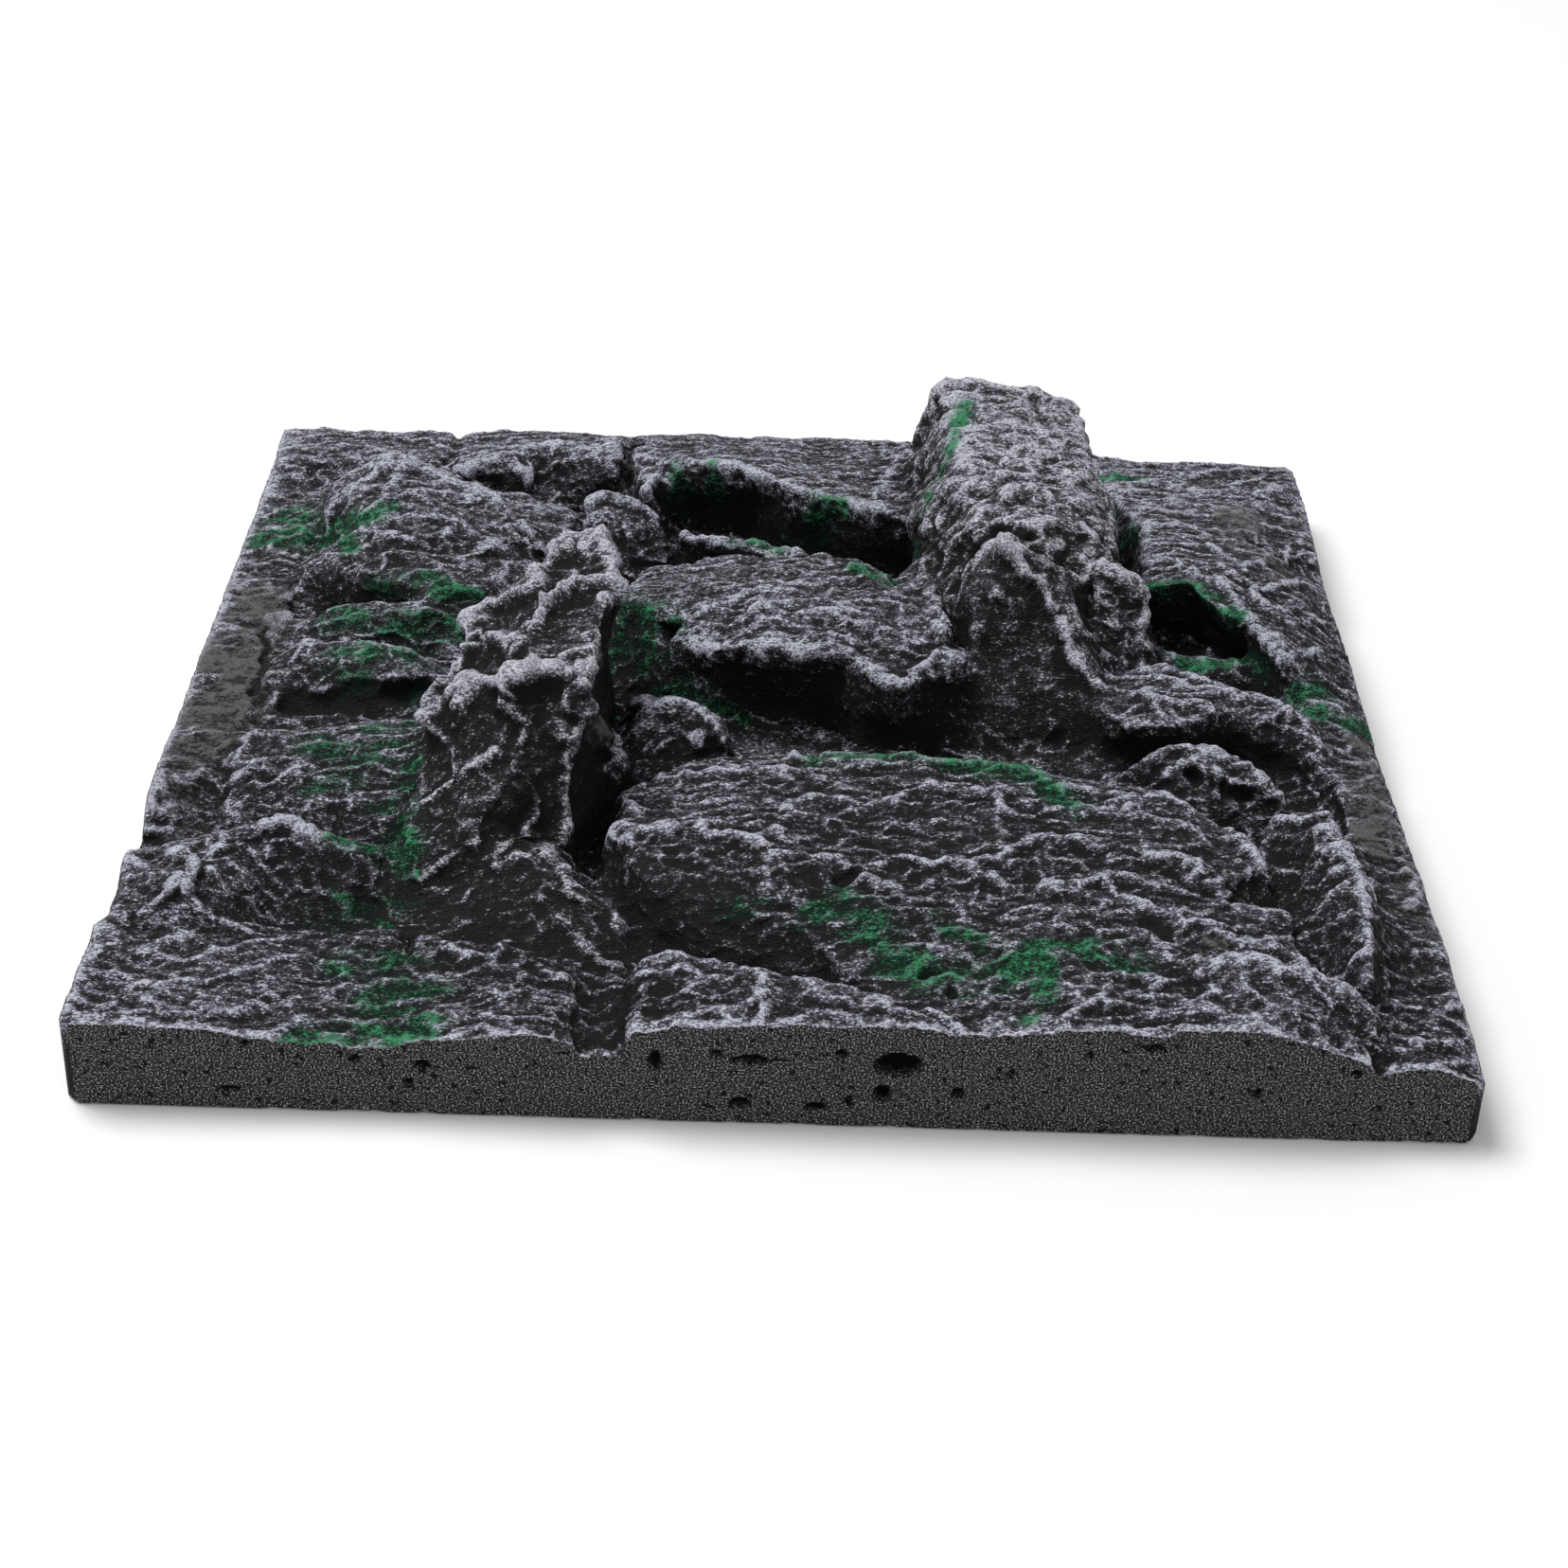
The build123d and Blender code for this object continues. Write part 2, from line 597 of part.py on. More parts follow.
def relief_block(plot, trim):
    """Mass of every stone over one plot, above the backing; the plot's main solid only."""
    column = extrude(Pos(0, 0, BACKING) * make_face(Polyline(*plot, close=True)), SKY - BACKING)
    column = column & trim
    mass = None
    for _, _, stones in blocks:
        for points in stones:
            if touches(points, plot):
                part = ConvexPolyhedron(points) & column
                if part is None or not part.solids():
                    continue
                mass = part if mass is None else mass + part
    return max(mass.solids(), key=lambda solid: solid.volume)


os.makedirs("parts", exist_ok=True)
export_step(slab(0, BACKING), "parts/backing_panel.step")
trim = slab(BACKING, SKY)
for name, plot, _ in blocks:
    export_step(relief_block(plot, trim), f"parts/{name}.step")
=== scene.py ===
import itertools
import json
import math

import bmesh
import bpy
import numpy as np
from mathutils import Matrix, Vector
from mathutils.kdtree import KDTree


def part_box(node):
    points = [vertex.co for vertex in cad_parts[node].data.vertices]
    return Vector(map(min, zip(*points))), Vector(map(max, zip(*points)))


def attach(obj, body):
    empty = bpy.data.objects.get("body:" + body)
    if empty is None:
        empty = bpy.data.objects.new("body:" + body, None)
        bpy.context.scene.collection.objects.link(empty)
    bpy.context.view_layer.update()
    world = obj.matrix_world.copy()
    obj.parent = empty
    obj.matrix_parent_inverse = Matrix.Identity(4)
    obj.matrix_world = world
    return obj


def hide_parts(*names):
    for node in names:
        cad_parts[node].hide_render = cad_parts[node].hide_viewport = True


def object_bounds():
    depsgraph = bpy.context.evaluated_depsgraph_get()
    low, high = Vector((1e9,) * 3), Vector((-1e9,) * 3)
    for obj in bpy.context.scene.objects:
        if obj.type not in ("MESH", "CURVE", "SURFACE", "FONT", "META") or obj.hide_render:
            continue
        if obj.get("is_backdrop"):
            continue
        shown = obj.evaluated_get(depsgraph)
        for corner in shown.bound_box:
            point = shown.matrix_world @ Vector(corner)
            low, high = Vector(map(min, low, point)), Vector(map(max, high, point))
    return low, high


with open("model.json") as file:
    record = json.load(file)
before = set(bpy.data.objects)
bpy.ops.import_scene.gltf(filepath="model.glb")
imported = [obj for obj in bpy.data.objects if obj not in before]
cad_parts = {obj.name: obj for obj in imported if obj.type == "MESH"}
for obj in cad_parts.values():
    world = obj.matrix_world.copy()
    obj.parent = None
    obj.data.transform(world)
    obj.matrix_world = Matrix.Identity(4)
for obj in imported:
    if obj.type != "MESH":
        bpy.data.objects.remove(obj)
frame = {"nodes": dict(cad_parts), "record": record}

cad_low, cad_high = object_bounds()

# ---------------------------------------------------------------- sizes, in millimetres

MM = 0.001
HALF = cad_high.x / MM  # half the side of the square panel
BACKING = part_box("backing_panel")[1].z / MM  # top of the plain backing, floor of the hollows
E = HALF + 2.0  # plots at the rim reach past the cut faces
SKY = 90.0  # above the highest ledge
VOXEL = 0.70  # size of the quads that the skin is made of
CUT = 0.25  # a point nearer than this to a cut plane belongs to the cut face
SEED = 11
WAVE, RIPPLE, GRAIN = 9, 3.9, 1.8  # spacing of the wavelets, of the ripples on them and of the grains
SCALLOP = 11  # spacing of the scallops on the left ledge
CREASE = 2.5  # a crease between stones counts as no deeper than this when it is filled
COLUMN = 1.5  # width of the upright strips of a cut face that follow the rim above them

# Each block of the relief and its plot on the backing, as the model has them
PLOTS = {
    "front_left_bed": [(-E, -E), (-84, -E), (-88, -105), (-113, -104), (-122, -115), (-E, -112)],
    "front_bed": [(-84, -E), (-33, -E), (-31, -124), (-36, -116), (-60, -114), (-88, -105)],
    "front_boulder": [(-33, -E), (40, -E), (22, -138), (12, -131), (0, -127), (-29, -112),
                      (-31, -124)],
    "plateau_front": [(40, -E), (82, -E), (88, -130), (100, -122), (117, -124), (113, -100),
                      (80, -98), (60, -100), (40, -106), (10, -117), (12, -131), (22, -138)],
    "front_right_boulder": [(82, -E), (130, -E), (130, -132), (124, -124), (117, -124),
                            (100, -122), (88, -130)],
    "left_peak": [(-E, -112), (-122, -115), (-113, -104), (-120, -88), (-E, -92)],
    "left_crest": [(-E, -92), (-120, -88), (-113, -104), (-88, -105), (-92, -78), (-90, -70),
                   (-130, -64), (-E, -66)],
    "left_lower_terrace": [(-130, -64), (-90, -70), (-86, -52), (-85, -10), (-131, -10)],
    "left_middle_terrace": [(-131, -10), (-85, -10), (-79, 8), (-79, 19), (-130, 18)],
    "left_upper_terrace": [(-130, 18), (-79, 19), (-74, 34), (-96, 36), (-130, 50)],
    "left_edge_strip": [(-E, -66), (-130, -64), (-131, -10), (-130, 18), (-130, 50), (-131, 78),
                        (-134, 118), (-E, 118)],
    "crag_step": [(-130, 50), (-96, 36), (-74, 34), (-60, 50), (-60, 62), (-72, 62), (-82, 52),
                  (-114, 59), (-131, 78)],
    "crag": [(-131, 78), (-114, 59), (-82, 52), (-72, 62), (-86, 84), (-88, 108), (-98, 120),
             (-134, 118)],
    "crag_shoulder": [(-72, 62), (-60, 62), (-57, 90), (-60, 111), (-73, 110), (-88, 108),
                      (-86, 84)],
    "back_left_corner": [(-E, 118), (-134, 118), (-98, 120), (-98, E), (-E, E)],
    "arched_rib": [(-98, 120), (-88, 108), (-73, 110), (-80, 128), (-86, E), (-98, E)],
    "back_left_wall": [(-86, E), (-80, 128), (-73, 110), (-60, 111), (-46, 112), (-46, E)],
    "back_block": [(-60, 62), (-46, 58), (-31, 66), (-29, 84), (-34, 98), (-46, 112),
                   (-60, 111), (-57, 90)],
    "back_terrace": [(-46, E), (-46, 112), (-34, 98), (0, 86), (36, 70), (32, 118), (40, 146),
                     (42, E)],
    "back_right_slope": [(42, E), (40, 146), (50, 146), (86, 132), (93, 98), (92, 84), (E, 84),
                         (E, E)],
    "saddle": [(-79, 19), (-62, 16), (-46, 14), (-46, 58), (-60, 62), (-60, 50), (-74, 34)],
    "centre_terrace": [(-46, 14), (-42, -8), (-18, -10), (0, -22), (20, -30), (46, -30),
                       (46, 10), (38, 12), (30, 54), (12, 67), (0, 60), (-24, 66), (-31, 66),
                       (-46, 58)],
    "hollow_ridge": [(-31, 66), (-24, 66), (0, 60), (12, 67), (30, 54), (36, 70), (0, 86),
                     (-34, 98), (-29, 84)],
    "dome": [(-42, -8), (-18, -10), (-8, -24), (-8, -38), (-22, -52), (-40, -60), (-42, -58)],
    "plateau": [(-42, -58), (-40, -60), (-22, -52), (-8, -38), (-8, -24), (-18, -10), (0, -22),
                (20, -30), (46, -30), (79, -31), (72, -40), (84, -52), (98, -58), (107, -68),
                (113, -100), (80, -98), (60, -100), (40, -106), (10, -117), (12, -131),
                (0, -127), (-29, -112), (-44, -92), (-45, -72)],
    "right_ridge": [(107, -68), (126, -60), (134, -60), (136, -118), (130, -132), (124, -124),
                    (117, -124), (113, -100)],
    "right_edge_strip": [(130, -E), (E, -E), (E, 22), (143, 18), (132, 2), (134, 0),
                         (134, -31), (134, -60), (136, -118), (130, -132)],
    "middle_boulder": [(79, -31), (134, -31), (134, -60), (126, -60), (107, -68), (98, -58),
                       (84, -52), (72, -40)],
    "shelf": [(79, -31), (134, -31), (134, 0), (132, 2), (125, 6), (96, 12), (80, 10)],
    "hollow_step": [(96, 12), (125, 6), (121, 23), (94, 43), (97, 24)],
    "right_slope": [(121, 23), (125, 6), (132, 2), (143, 18), (E, 22), (E, 62), (143, 60)],
    "right_plateau": [(94, 62), (94, 43), (121, 23), (143, 60), (E, 62), (E, 84), (92, 84),
                      (90, 72), (88, 62)],
    "lower_ledge": [(-86, -52), (-85, -10), (-79, 8), (-79, 19), (-62, 16), (-46, 14),
                    (-42, -8), (-42, -58)],
    "lower_ledge_front": [(-90, -70), (-86, -52), (-42, -58), (-45, -72), (-52, -86),
                          (-88, -92), (-92, -78)],
    "lower_buttress": [(-92, -78), (-88, -92), (-52, -86), (-45, -72), (-44, -92), (-29, -112),
                       (-31, -124), (-36, -116), (-60, -114), (-88, -105)],
    "upper_ledge": [(48, 20), (78, 20), (88, 62), (90, 72), (92, 84), (93, 98), (86, 132),
                    (50, 146), (40, 146), (32, 118), (36, 70), (30, 54), (38, 12), (46, 10)],
    "upper_ledge_toe": [(46, -30), (79, -31), (80, 10), (78, 20), (48, 20), (46, 10)],
    "upper_ledge_lobe": [(80, 10), (96, 12), (97, 24), (94, 43), (94, 62), (88, 62), (78, 20)],
}
# The stones of the two upright ledges
LEDGES = ("lower_ledge", "lower_ledge_front", "lower_buttress", "upper_ledge",
          "upper_ledge_toe", "upper_ledge_lobe")

# ---------------------------------------------------------------- features of the relief
#
# The lines, holes, moss and bare patches, and most of the voids, were picked on the photograph. A separate
# program then worked their places out in millimetres, by casting each pick through the fitted camera onto
# the part. Some places, and all sizes, were set one by one.

# Strokes along the surface: the stone they lie on, their height, width and paint, and the points
# of each line in millimetres
PLAIN = (1.2, 2, 0.35)  # the size of most strokes
RIDGES = {
    ("front_bed", *PLAIN): [
        [(-74, -112, 18), (-69, -120, 19), (-62, -119, 19), (-59, -108, 16)],
        [(-54, -120, 19), (-46, -124, 17), (-40, -122, 12)],
    ],
    ("front_boulder", *PLAIN): [
        [(-29, -131, 24), (-29, -141, 23), (-29, -149, 21)],
        [(-3, -136, 27), (-4, -144, 26), (-5, -148, 25)],
    ],
    ("front_boulder", 1, 2.5, 0.35): [[(-31, -124, 24), (-26, -127, 26), (-20, -126, 27), (-12, -128, 27),
        (-4, -132, 27), (5, -135, 27), (13, -139, 26), (21, -139, 26), (27, -144, 26)]],
    ("front_boulder", 0.6, 1.5, 0.3): [[(-21, -150, 23), (-11, -150, 24)]],
    ("plateau_front", *PLAIN): [
        [(58, -102, 30), (69, -101, 30), (74, -97, 31), (79, -97, 30)],
        [(31, -142, 25), (37, -143, 25), (41, -150, 25)],
        [(58, -101, 30), (65, -101, 30), (71, -99, 31), (75, -103, 30), (80, -108, 29), (86, -110, 29),
         (92, -111, 28), (97, -114, 28), (104, -115, 27), (110, -116, 26), (116, -121, 24)],
        [(78, -130, 28), (81, -134, 27)],
    ],
    ("plateau_front", 1, 2.5, 0.1): [[(32, -110, 27), (40, -116, 26), (50, -121, 29)]],
    ("plateau_front", 1.4, 1.5, 0.3): [[(61, -146, 27), (66, -141, 28)]],
    ("front_right_boulder", *PLAIN): [
        [(90, -127, 27), (92, -138, 29), (90, -141, 29)],
        [(119, -150, 22), (124, -148, 20), (125, -150, 19)],
    ],
    ("front_right_boulder", 1.2, 4, 0.3): [[(90, -127, 27), (96, -125, 29), (99, -126, 31), (105, -128, 31),
        (112, -130, 31), (118, -132, 29), (123, -134, 26), (127, -135, 23)]],
    ("left_peak", *PLAIN): [[(-126, -97, 25), (-118, -98, 20)]],
    ("left_peak", 1.4, 1.6, 0.4): [
        [(-130, -96, 26), (-135, -106, 26), (-143, -112, 21)],
        [(-130, -96, 26), (-132, -104, 27), (-127, -109, 23), (-116, -112, 19)],
    ],
    ("left_crest", *PLAIN): [[(-146, -72, 21), (-140, -68, 21), (-133, -66, 22)]],
    ("left_crest", 1.6, 2.2, 0.4): [[(-148, -90, 20), (-139, -90, 23), (-131, -89, 24), (-124, -88, 25),
        (-118, -86, 26), (-114, -83, 28), (-107, -85, 27), (-103, -86, 26)]],
    ("left_lower_terrace", *PLAIN): [
        [(-131, -40, 21), (-130, -32, 22), (-124, -28, 23), (-112, -27, 24)],
        [(-130, -50, 21), (-125, -43, 23), (-116, -45, 23)],
    ],
    ("left_middle_terrace", *PLAIN): [
        [(-126, 4, 24), (-121, 12, 26), (-111, 9, 28), (-103, 5, 28), (-92, 6, 28)],
        [(-127, -5, 17), (-121, -6, 20), (-112, -6, 23), (-104, -4, 25), (-95, -3, 25)],
    ],
    ("left_upper_terrace", *PLAIN): [[(-127, 36, 26), (-116, 29, 28), (-104, 25, 29), (-89, 26, 29)]],
    ("left_edge_strip", *PLAIN): [[(-135, 30, 20), (-130, 36, 17)]],
    ("crag_step", *PLAIN): [
        [(-82, 52, 31), (-77, 58, 31), (-72, 62, 28)],
        [(-110, 57, 32), (-102, 55, 33), (-93, 55, 34), (-88, 65, 33)],
    ],
    ("crag", *PLAIN): [[(-91, 111, 22), (-84, 90, 28)]],
    ("crag", 1.8, 3, 0.3): [
        [(-107, 92, 37), (-112, 88, 36), (-120, 84, 33), (-126, 80, 28)],
        [(-107, 92, 37), (-98, 89, 36), (-90, 84, 33), (-84, 80, 32), (-77, 74, 29), (-68, 62, 28),
         (-64, 63, 27)],
    ],
    ("crag", 1.2, 3, 0.15): [[(-107, 92, 37), (-109, 79, 36), (-112, 69, 34), (-109, 62, 33)]],
    ("arched_rib", 2.2, 2.5, 0.4): [[(-94, 112, 25), (-86, 116, 28), (-79, 121, 28), (-75, 120, 26),
        (-75, 113, 24)]],
    ("back_left_wall", 1.6, 2.5, 0.4): [[(-74, 122, 29), (-64, 122, 31), (-52, 120, 31)]],
    ("back_left_wall", 2, 3, 0.4): [[(-53, 141, 25), (-50, 117, 30)]],
    ("back_block", *PLAIN): [
        [(-34, 105, 31), (-38, 101, 30), (-39, 96, 28)],
        [(-55, 74, 29), (-46, 76, 30), (-42, 73, 26)],
    ],
    ("back_block", 1.6, 2.5, 0.4): [[(-56, 80, 33), (-50, 84, 34), (-43, 83, 34), (-37, 80, 32)]],
    ("back_terrace", *PLAIN): [[(-46, 118, 30), (-42, 119, 30), (-38, 112, 32), (-37, 107, 33)]],
    ("back_terrace", 1.2, 3, 0.25): [[(-31, 104, 35), (-23, 102, 35), (-15, 99, 34), (-8, 94, 35),
        (-1, 89, 35), (6, 84, 33), (12, 81, 33), (19, 77, 35), (25, 75, 36), (31, 72, 34), (35, 67, 35)]],
    ("back_right_slope", *PLAIN): [
        [(137, 85, 21), (141, 89, 21), (145, 95, 20)],
        [(104, 128, 22), (110, 127, 22), (115, 119, 23), (123, 119, 23)],
        [(100, 103, 25), (107, 98, 26), (115, 103, 25)],
        [(135, 123, 22), (141, 129, 20), (146, 131, 19)],
        [(99, 82, 28), (104, 86, 27), (110, 88, 27), (116, 84, 28)],
    ],
    ("centre_terrace", *PLAIN): [
        [(-27, 14, 35), (-22, 14, 35), (-16, 17, 36), (-9, 23, 36), (-2, 24, 37)],
        [(-11, 9, 36), (-5, 12, 38), (2, 9, 38), (9, 11, 38), (19, 10, 38)],
        [(31, -14, 35), (35, -10, 36), (38, -8, 36)],
        [(31, -15, 35), (36, -14, 35)],
    ],
    ("centre_terrace", 1.2, 2.2, 0.45): [[(-27, 8, 31), (-22, 5, 32), (-18, 1, 32), (-13, -3, 33),
        (-7, -4, 34), (-3, -3, 36), (2, -5, 36), (6, -6, 35), (11, -4, 37), (16, -6, 36), (18, -10, 34),
        (22, -13, 35), (26, -16, 34), (30, -17, 34), (34, -12, 35), (37, -7, 36), (42, -8, 36),
        (47, 6, 29)]],
    ("centre_terrace", 1.8, 2.2, 0.15): [[(-28, 71, 28), (-20, 65, 29), (-10, 65, 30), (-2, 62, 30),
        (6, 59, 29), (13, 46, 33), (19, 41, 34), (25, 35, 35), (31, 39, 31)]],
    ("centre_terrace", 4, 3.6, 0.3): [[(39, 1, 34), (38, 4, 34)]],
    ("dome", *PLAIN): [
        [(-39, -20, 27), (-30, -27, 31), (-23, -27, 32), (-17, -30, 30), (-14, -32, 26)],
        [(-31, -36, 25), (-26, -35, 27), (-21, -35, 28)],
    ],
    ("dome", 2, 2.5, 0.5): [[(-46, -58, 42), (-44, -40, 31), (-41, -40, 28), (-39, -45, 26)]],
    ("plateau", *PLAIN): [
        [(3, -45, 28), (9, -48, 28), (15, -46, 28), (22, -48, 29), (28, -49, 29), (34, -46, 29),
         (44, -48, 29)],
        [(48, -49, 29), (59, -49, 29), (64, -56, 29), (73, -59, 29), (82, -62, 30)],
        [(44, -62, 29), (49, -63, 30), (52, -72, 30)],
        [(62, -67, 29), (72, -69, 30), (82, -67, 30)],
        [(-24, -84, 30), (-15, -80, 30), (-5, -80, 30), (3, -84, 30)],
        [(-3, -93, 29), (5, -90, 30), (13, -93, 30), (18, -97, 29), (21, -99, 29), (26, -101, 28),
         (30, -105, 28)],
        [(19, -93, 29), (30, -89, 28), (39, -92, 29), (48, -97, 28)],
        [(45, -91, 29), (55, -84, 30), (59, -81, 30), (66, -81, 30), (71, -84, 30)],
        [(-3, -99, 28), (1, -102, 27), (5, -103, 27)],
        [(69, -67, 30), (74, -67, 30), (80, -64, 30), (89, -61, 30), (96, -64, 29)],
        [(103, -66, 29), (106, -74, 28), (109, -84, 27), (111, -92, 26)],
        [(74, -88, 30), (79, -88, 30), (86, -88, 30), (91, -88, 30), (97, -93, 28), (99, -98, 27)],
        [(92, -91, 29), (97, -94, 28), (100, -99, 28)],
        [(-39, -78, 25), (-35, -83, 28), (-32, -86, 28)],
        [(-35, -66, 28), (-31, -72, 28)],
    ],
    ("plateau", 1, 2, 0.25): [
        [(-34, -41, 20), (-28, -55, 27), (-19, -55, 28), (-15, -51, 28), (-8, -53, 28), (1, -53, 28),
         (9, -56, 29)],
        [(1, -71, 29), (5, -65, 29), (14, -65, 29), (25, -67, 29), (35, -60, 29), (43, -59, 29)],
    ],
    ("plateau", 1.5, 2.5, 0.45): [[(-40, -75, 24), (-35, -79, 28), (-24, -84, 30), (-20, -79, 30),
        (-14, -84, 30), (-9, -85, 30), (-3, -87, 30)]],
    ("right_ridge", *PLAIN): [
        [(114, -67, 26), (122, -68, 30), (127, -69, 31)],
        [(115, -82, 23), (117, -84, 26)],
        [(123, -76, 31), (124, -86, 30), (126, -93, 31)],
    ],
    ("right_ridge", 1.2, 2.2, 0.45): [[(125, -70, 31), (127, -82, 31), (129, -92, 31), (129, -101, 31),
        (129, -111, 30), (127, -121, 29)]],
    ("right_ridge", 0.5, 5, 0.42): [[(129, -75, 30), (132, -86, 28), (131, -98, 29)]],
    ("right_ridge", 2.5, 4, 0.2): [[(134, -87, 24)]],
    ("right_edge_strip", *PLAIN): [
        [(127, -141, 22), (134, -139, 19), (139, -140, 19)],
        [(141, -76, 19), (149, -73, 16), (144, -89, 19)],
        [(130, -148, 18), (137, -148, 19), (140, -150, 18), (148, -150, 14)],
    ],
    ("right_edge_strip", 1.2, 2, 0.3): [[(133, -129, 19), (142, -127, 19), (148, -124, 17)]],
    ("middle_boulder", *PLAIN): [[(93, -44, 27), (97, -42, 28), (103, -44, 27), (107, -46, 25),
        (113, -49, 22)]],
    ("middle_boulder", 1.4, 2.5, 0.3): [[(89, -38, 27), (94, -38, 28), (100, -40, 29), (107, -40, 28),
        (112, -42, 27), (116, -46, 25), (120, -48, 23)]],
    ("shelf", *PLAIN): [
        [(92, -17, 29), (97, -22, 29), (104, -20, 29), (109, -15, 29)],
        [(119, -17, 28), (125, -13, 29), (129, -18, 28), (130, -23, 26), (132, -30, 23)],
        [(81, -20, 23), (86, -23, 28), (90, -24, 29), (92, -27, 29)],
        [(90, -10, 29), (91, -18, 29), (93, -21, 29)],
        [(94, -3, 29), (103, -7, 30), (110, -8, 30), (116, -11, 29)],
        [(119, -18, 27), (124, -15, 28), (126, -17, 28)],
        [(91, -15, 29), (94, -16, 29), (102, -16, 30), (106, -19, 28)],
    ],
    ("shelf", 1.2, 2.2, 0.4): [[(93, 5, 29), (98, 4, 29), (103, -2, 30), (112, -5, 29), (115, -8, 29),
        (120, -9, 29), (125, -12, 29), (130, -18, 28), (132, -24, 25)]],
    ("right_slope", *PLAIN): [
        [(132, 30, 29), (138, 38, 25), (144, 44, 21)],
        [(127, 9, 30), (133, 15, 28), (139, 24, 24)],
    ],
    ("right_plateau", *PLAIN): [
        [(117, 55, 31), (122, 49, 30), (124, 40, 31), (128, 36, 30), (131, 35, 29)],
        [(123, 57, 30), (135, 79, 21), (144, 87, 20), (148, 86, 18)],
        [(125, 45, 30), (132, 53, 27), (140, 62, 23), (147, 71, 17)],
        [(114, 72, 29), (118, 67, 30), (122, 63, 29)],
    ],
    ("right_plateau", 1.4, 2.5, 0.25): [[(97, 57, 30), (102, 57, 31), (106, 56, 32), (109, 50, 32),
        (112, 46, 32), (116, 46, 32), (118, 35, 32), (120, 28, 33), (121, 21, 33), (124, 16, 32),
        (125, 12, 31), (126, 9, 30)]],
    ("lower_ledge", *PLAIN): [[(-51, -46, 54), (-47, -41, 55), (-43, -43, 55)]],
    ("lower_ledge", 2.2, 2.4, 0.4): [
        [(-81, -55, 42), (-80, -34, 38), (-77, -28, 40), (-73, -25, 44), (-67, -32, 48), (-62, -38, 51)],
        [(-74, -26, 42), (-75, -14, 43), (-72, -8, 46), (-67, -10, 49), (-62, -14, 53)],
        [(-61, -32, 52), (-59, -28, 53), (-55, -21, 55), (-50, -16, 56), (-42, -18, 57)],
    ],
    ("lower_ledge", 1.8, 2.2, 0.4): [[(-60, -12, 54), (-58, -3, 55), (-57, 7, 55), (-52, 12, 57),
        (-47, 10, 57), (-45, 2, 57), (-43, -10, 57)]],
    ("lower_ledge", 1.6, 2, 0.3): [[(-57, -24, 54), (-54, -19, 55), (-52, -9, 56)]],
    ("lower_ledge", 1, 1.6, 0.45): [[(-43, -12, 57), (-42, -23, 56), (-43, -40, 55), (-45, -50, 53),
        (-46, -56, 50)]],
    ("lower_ledge", 2.4, 5.5, 0.25): [[(-55, 3, 55), (-50, 7, 56), (-48, 1, 56)]],
    ("lower_ledge", 1.7, 3, 0.5): [
        [(-46, -14, 56)],
        [(-45, -23, 55)],
    ],
    ("lower_ledge", 2.2, 3.4, 0.4): [
        [(-75, -12, 43)],
        [(-80, -36, 38)],
    ],
    ("lower_ledge", 2, 3, 0.45): [
        [(-68, -30, 47)],
        [(-60, -8, 54)],
    ],
    ("lower_ledge_front", *PLAIN): [
        [(-62, -64, 49), (-58, -65, 49)],
        [(-59, -69, 45)],
        [(-49, -62, 51), (-50, -65, 49), (-51, -67, 46)],
        [(-46, -60, 49), (-46, -62, 47), (-48, -65, 46), (-48, -68, 42)],
        [(-73, -72, 39), (-70, -71, 41), (-65, -70, 43)],
        [(-49, -68, 43), (-49, -71, 37), (-49, -74, 32), (-49, -76, 27), (-50, -78, 23)],
        [(-56, -76, 32), (-57, -77, 30), (-58, -79, 28), (-57, -80, 26), (-59, -82, 24), (-63, -85, 25)],
        [(-81, -90, 21), (-75, -88, 23), (-72, -85, 25), (-70, -84, 27)],
    ],
    ("lower_ledge_front", 2.2, 2.4, 0.5): [
        [(-81, -54, 42), (-81, -37, 36), (-76, -53, 47), (-74, -55, 48)],
        [(-72, -59, 48), (-72, -55, 50), (-70, -55, 51), (-66, -58, 52), (-63, -60, 53)],
    ],
    ("lower_ledge_front", 2.2, 2.2, 0.5): [[(-62, -61, 52), (-62, -59, 54), (-60, -58, 55),
        (-58, -58, 55)]],
    ("lower_ledge_front", 2, 2.2, 0.5): [[(-57, -58, 56), (-54, -57, 57), (-50, -58, 57), (-48, -51, 52),
        (-46, -60, 54), (-46, -60, 50)]],
    ("lower_ledge_front", 0.8, 1.2, 0.4): [[(-81, -55, 41), (-79, -61, 40), (-77, -66, 40), (-77, -71, 37),
        (-77, -73, 35), (-83, -73, 31)]],
    ("lower_ledge_front", 1.8, 2.2, 0.5): [[(-74, -58, 46)]],
    ("lower_ledge_front", 1.8, 2, 0.5): [[(-65, -63, 49)]],
    ("lower_buttress", *PLAIN): [
        [(-55, -87, 25), (-50, -90, 25), (-48, -97, 23), (-43, -102, 21)],
        [(-49, -105, 19), (-42, -110, 16), (-37, -115, 14)],
        [(-67, -87, 23), (-63, -89, 24), (-59, -88, 24), (-56, -89, 25)],
        [(-54, -94, 23), (-53, -99, 21)],
        [(-48, -93, 25), (-46, -98, 23), (-43, -103, 20)],
        [(-40, -97, 16), (-37, -102, 17), (-34, -104, 16)],
    ],
    ("lower_buttress", 0.4, 3, 0.6): [[(-53, -87, 25), (-52, -80, 21)]],
    ("upper_ledge", *PLAIN): [
        [(40, 112, 53), (41, 114, 56), (48, 114, 57)],
        [(50, 114, 57), (56, 112, 58), (61, 110, 57), (66, 107, 57), (71, 110, 57), (75, 107, 55)],
        [(52, 86, 56), (57, 85, 57), (64, 83, 56), (69, 84, 56)],
        [(49, 75, 55), (54, 75, 56), (59, 71, 56), (63, 76, 56), (69, 80, 56)],
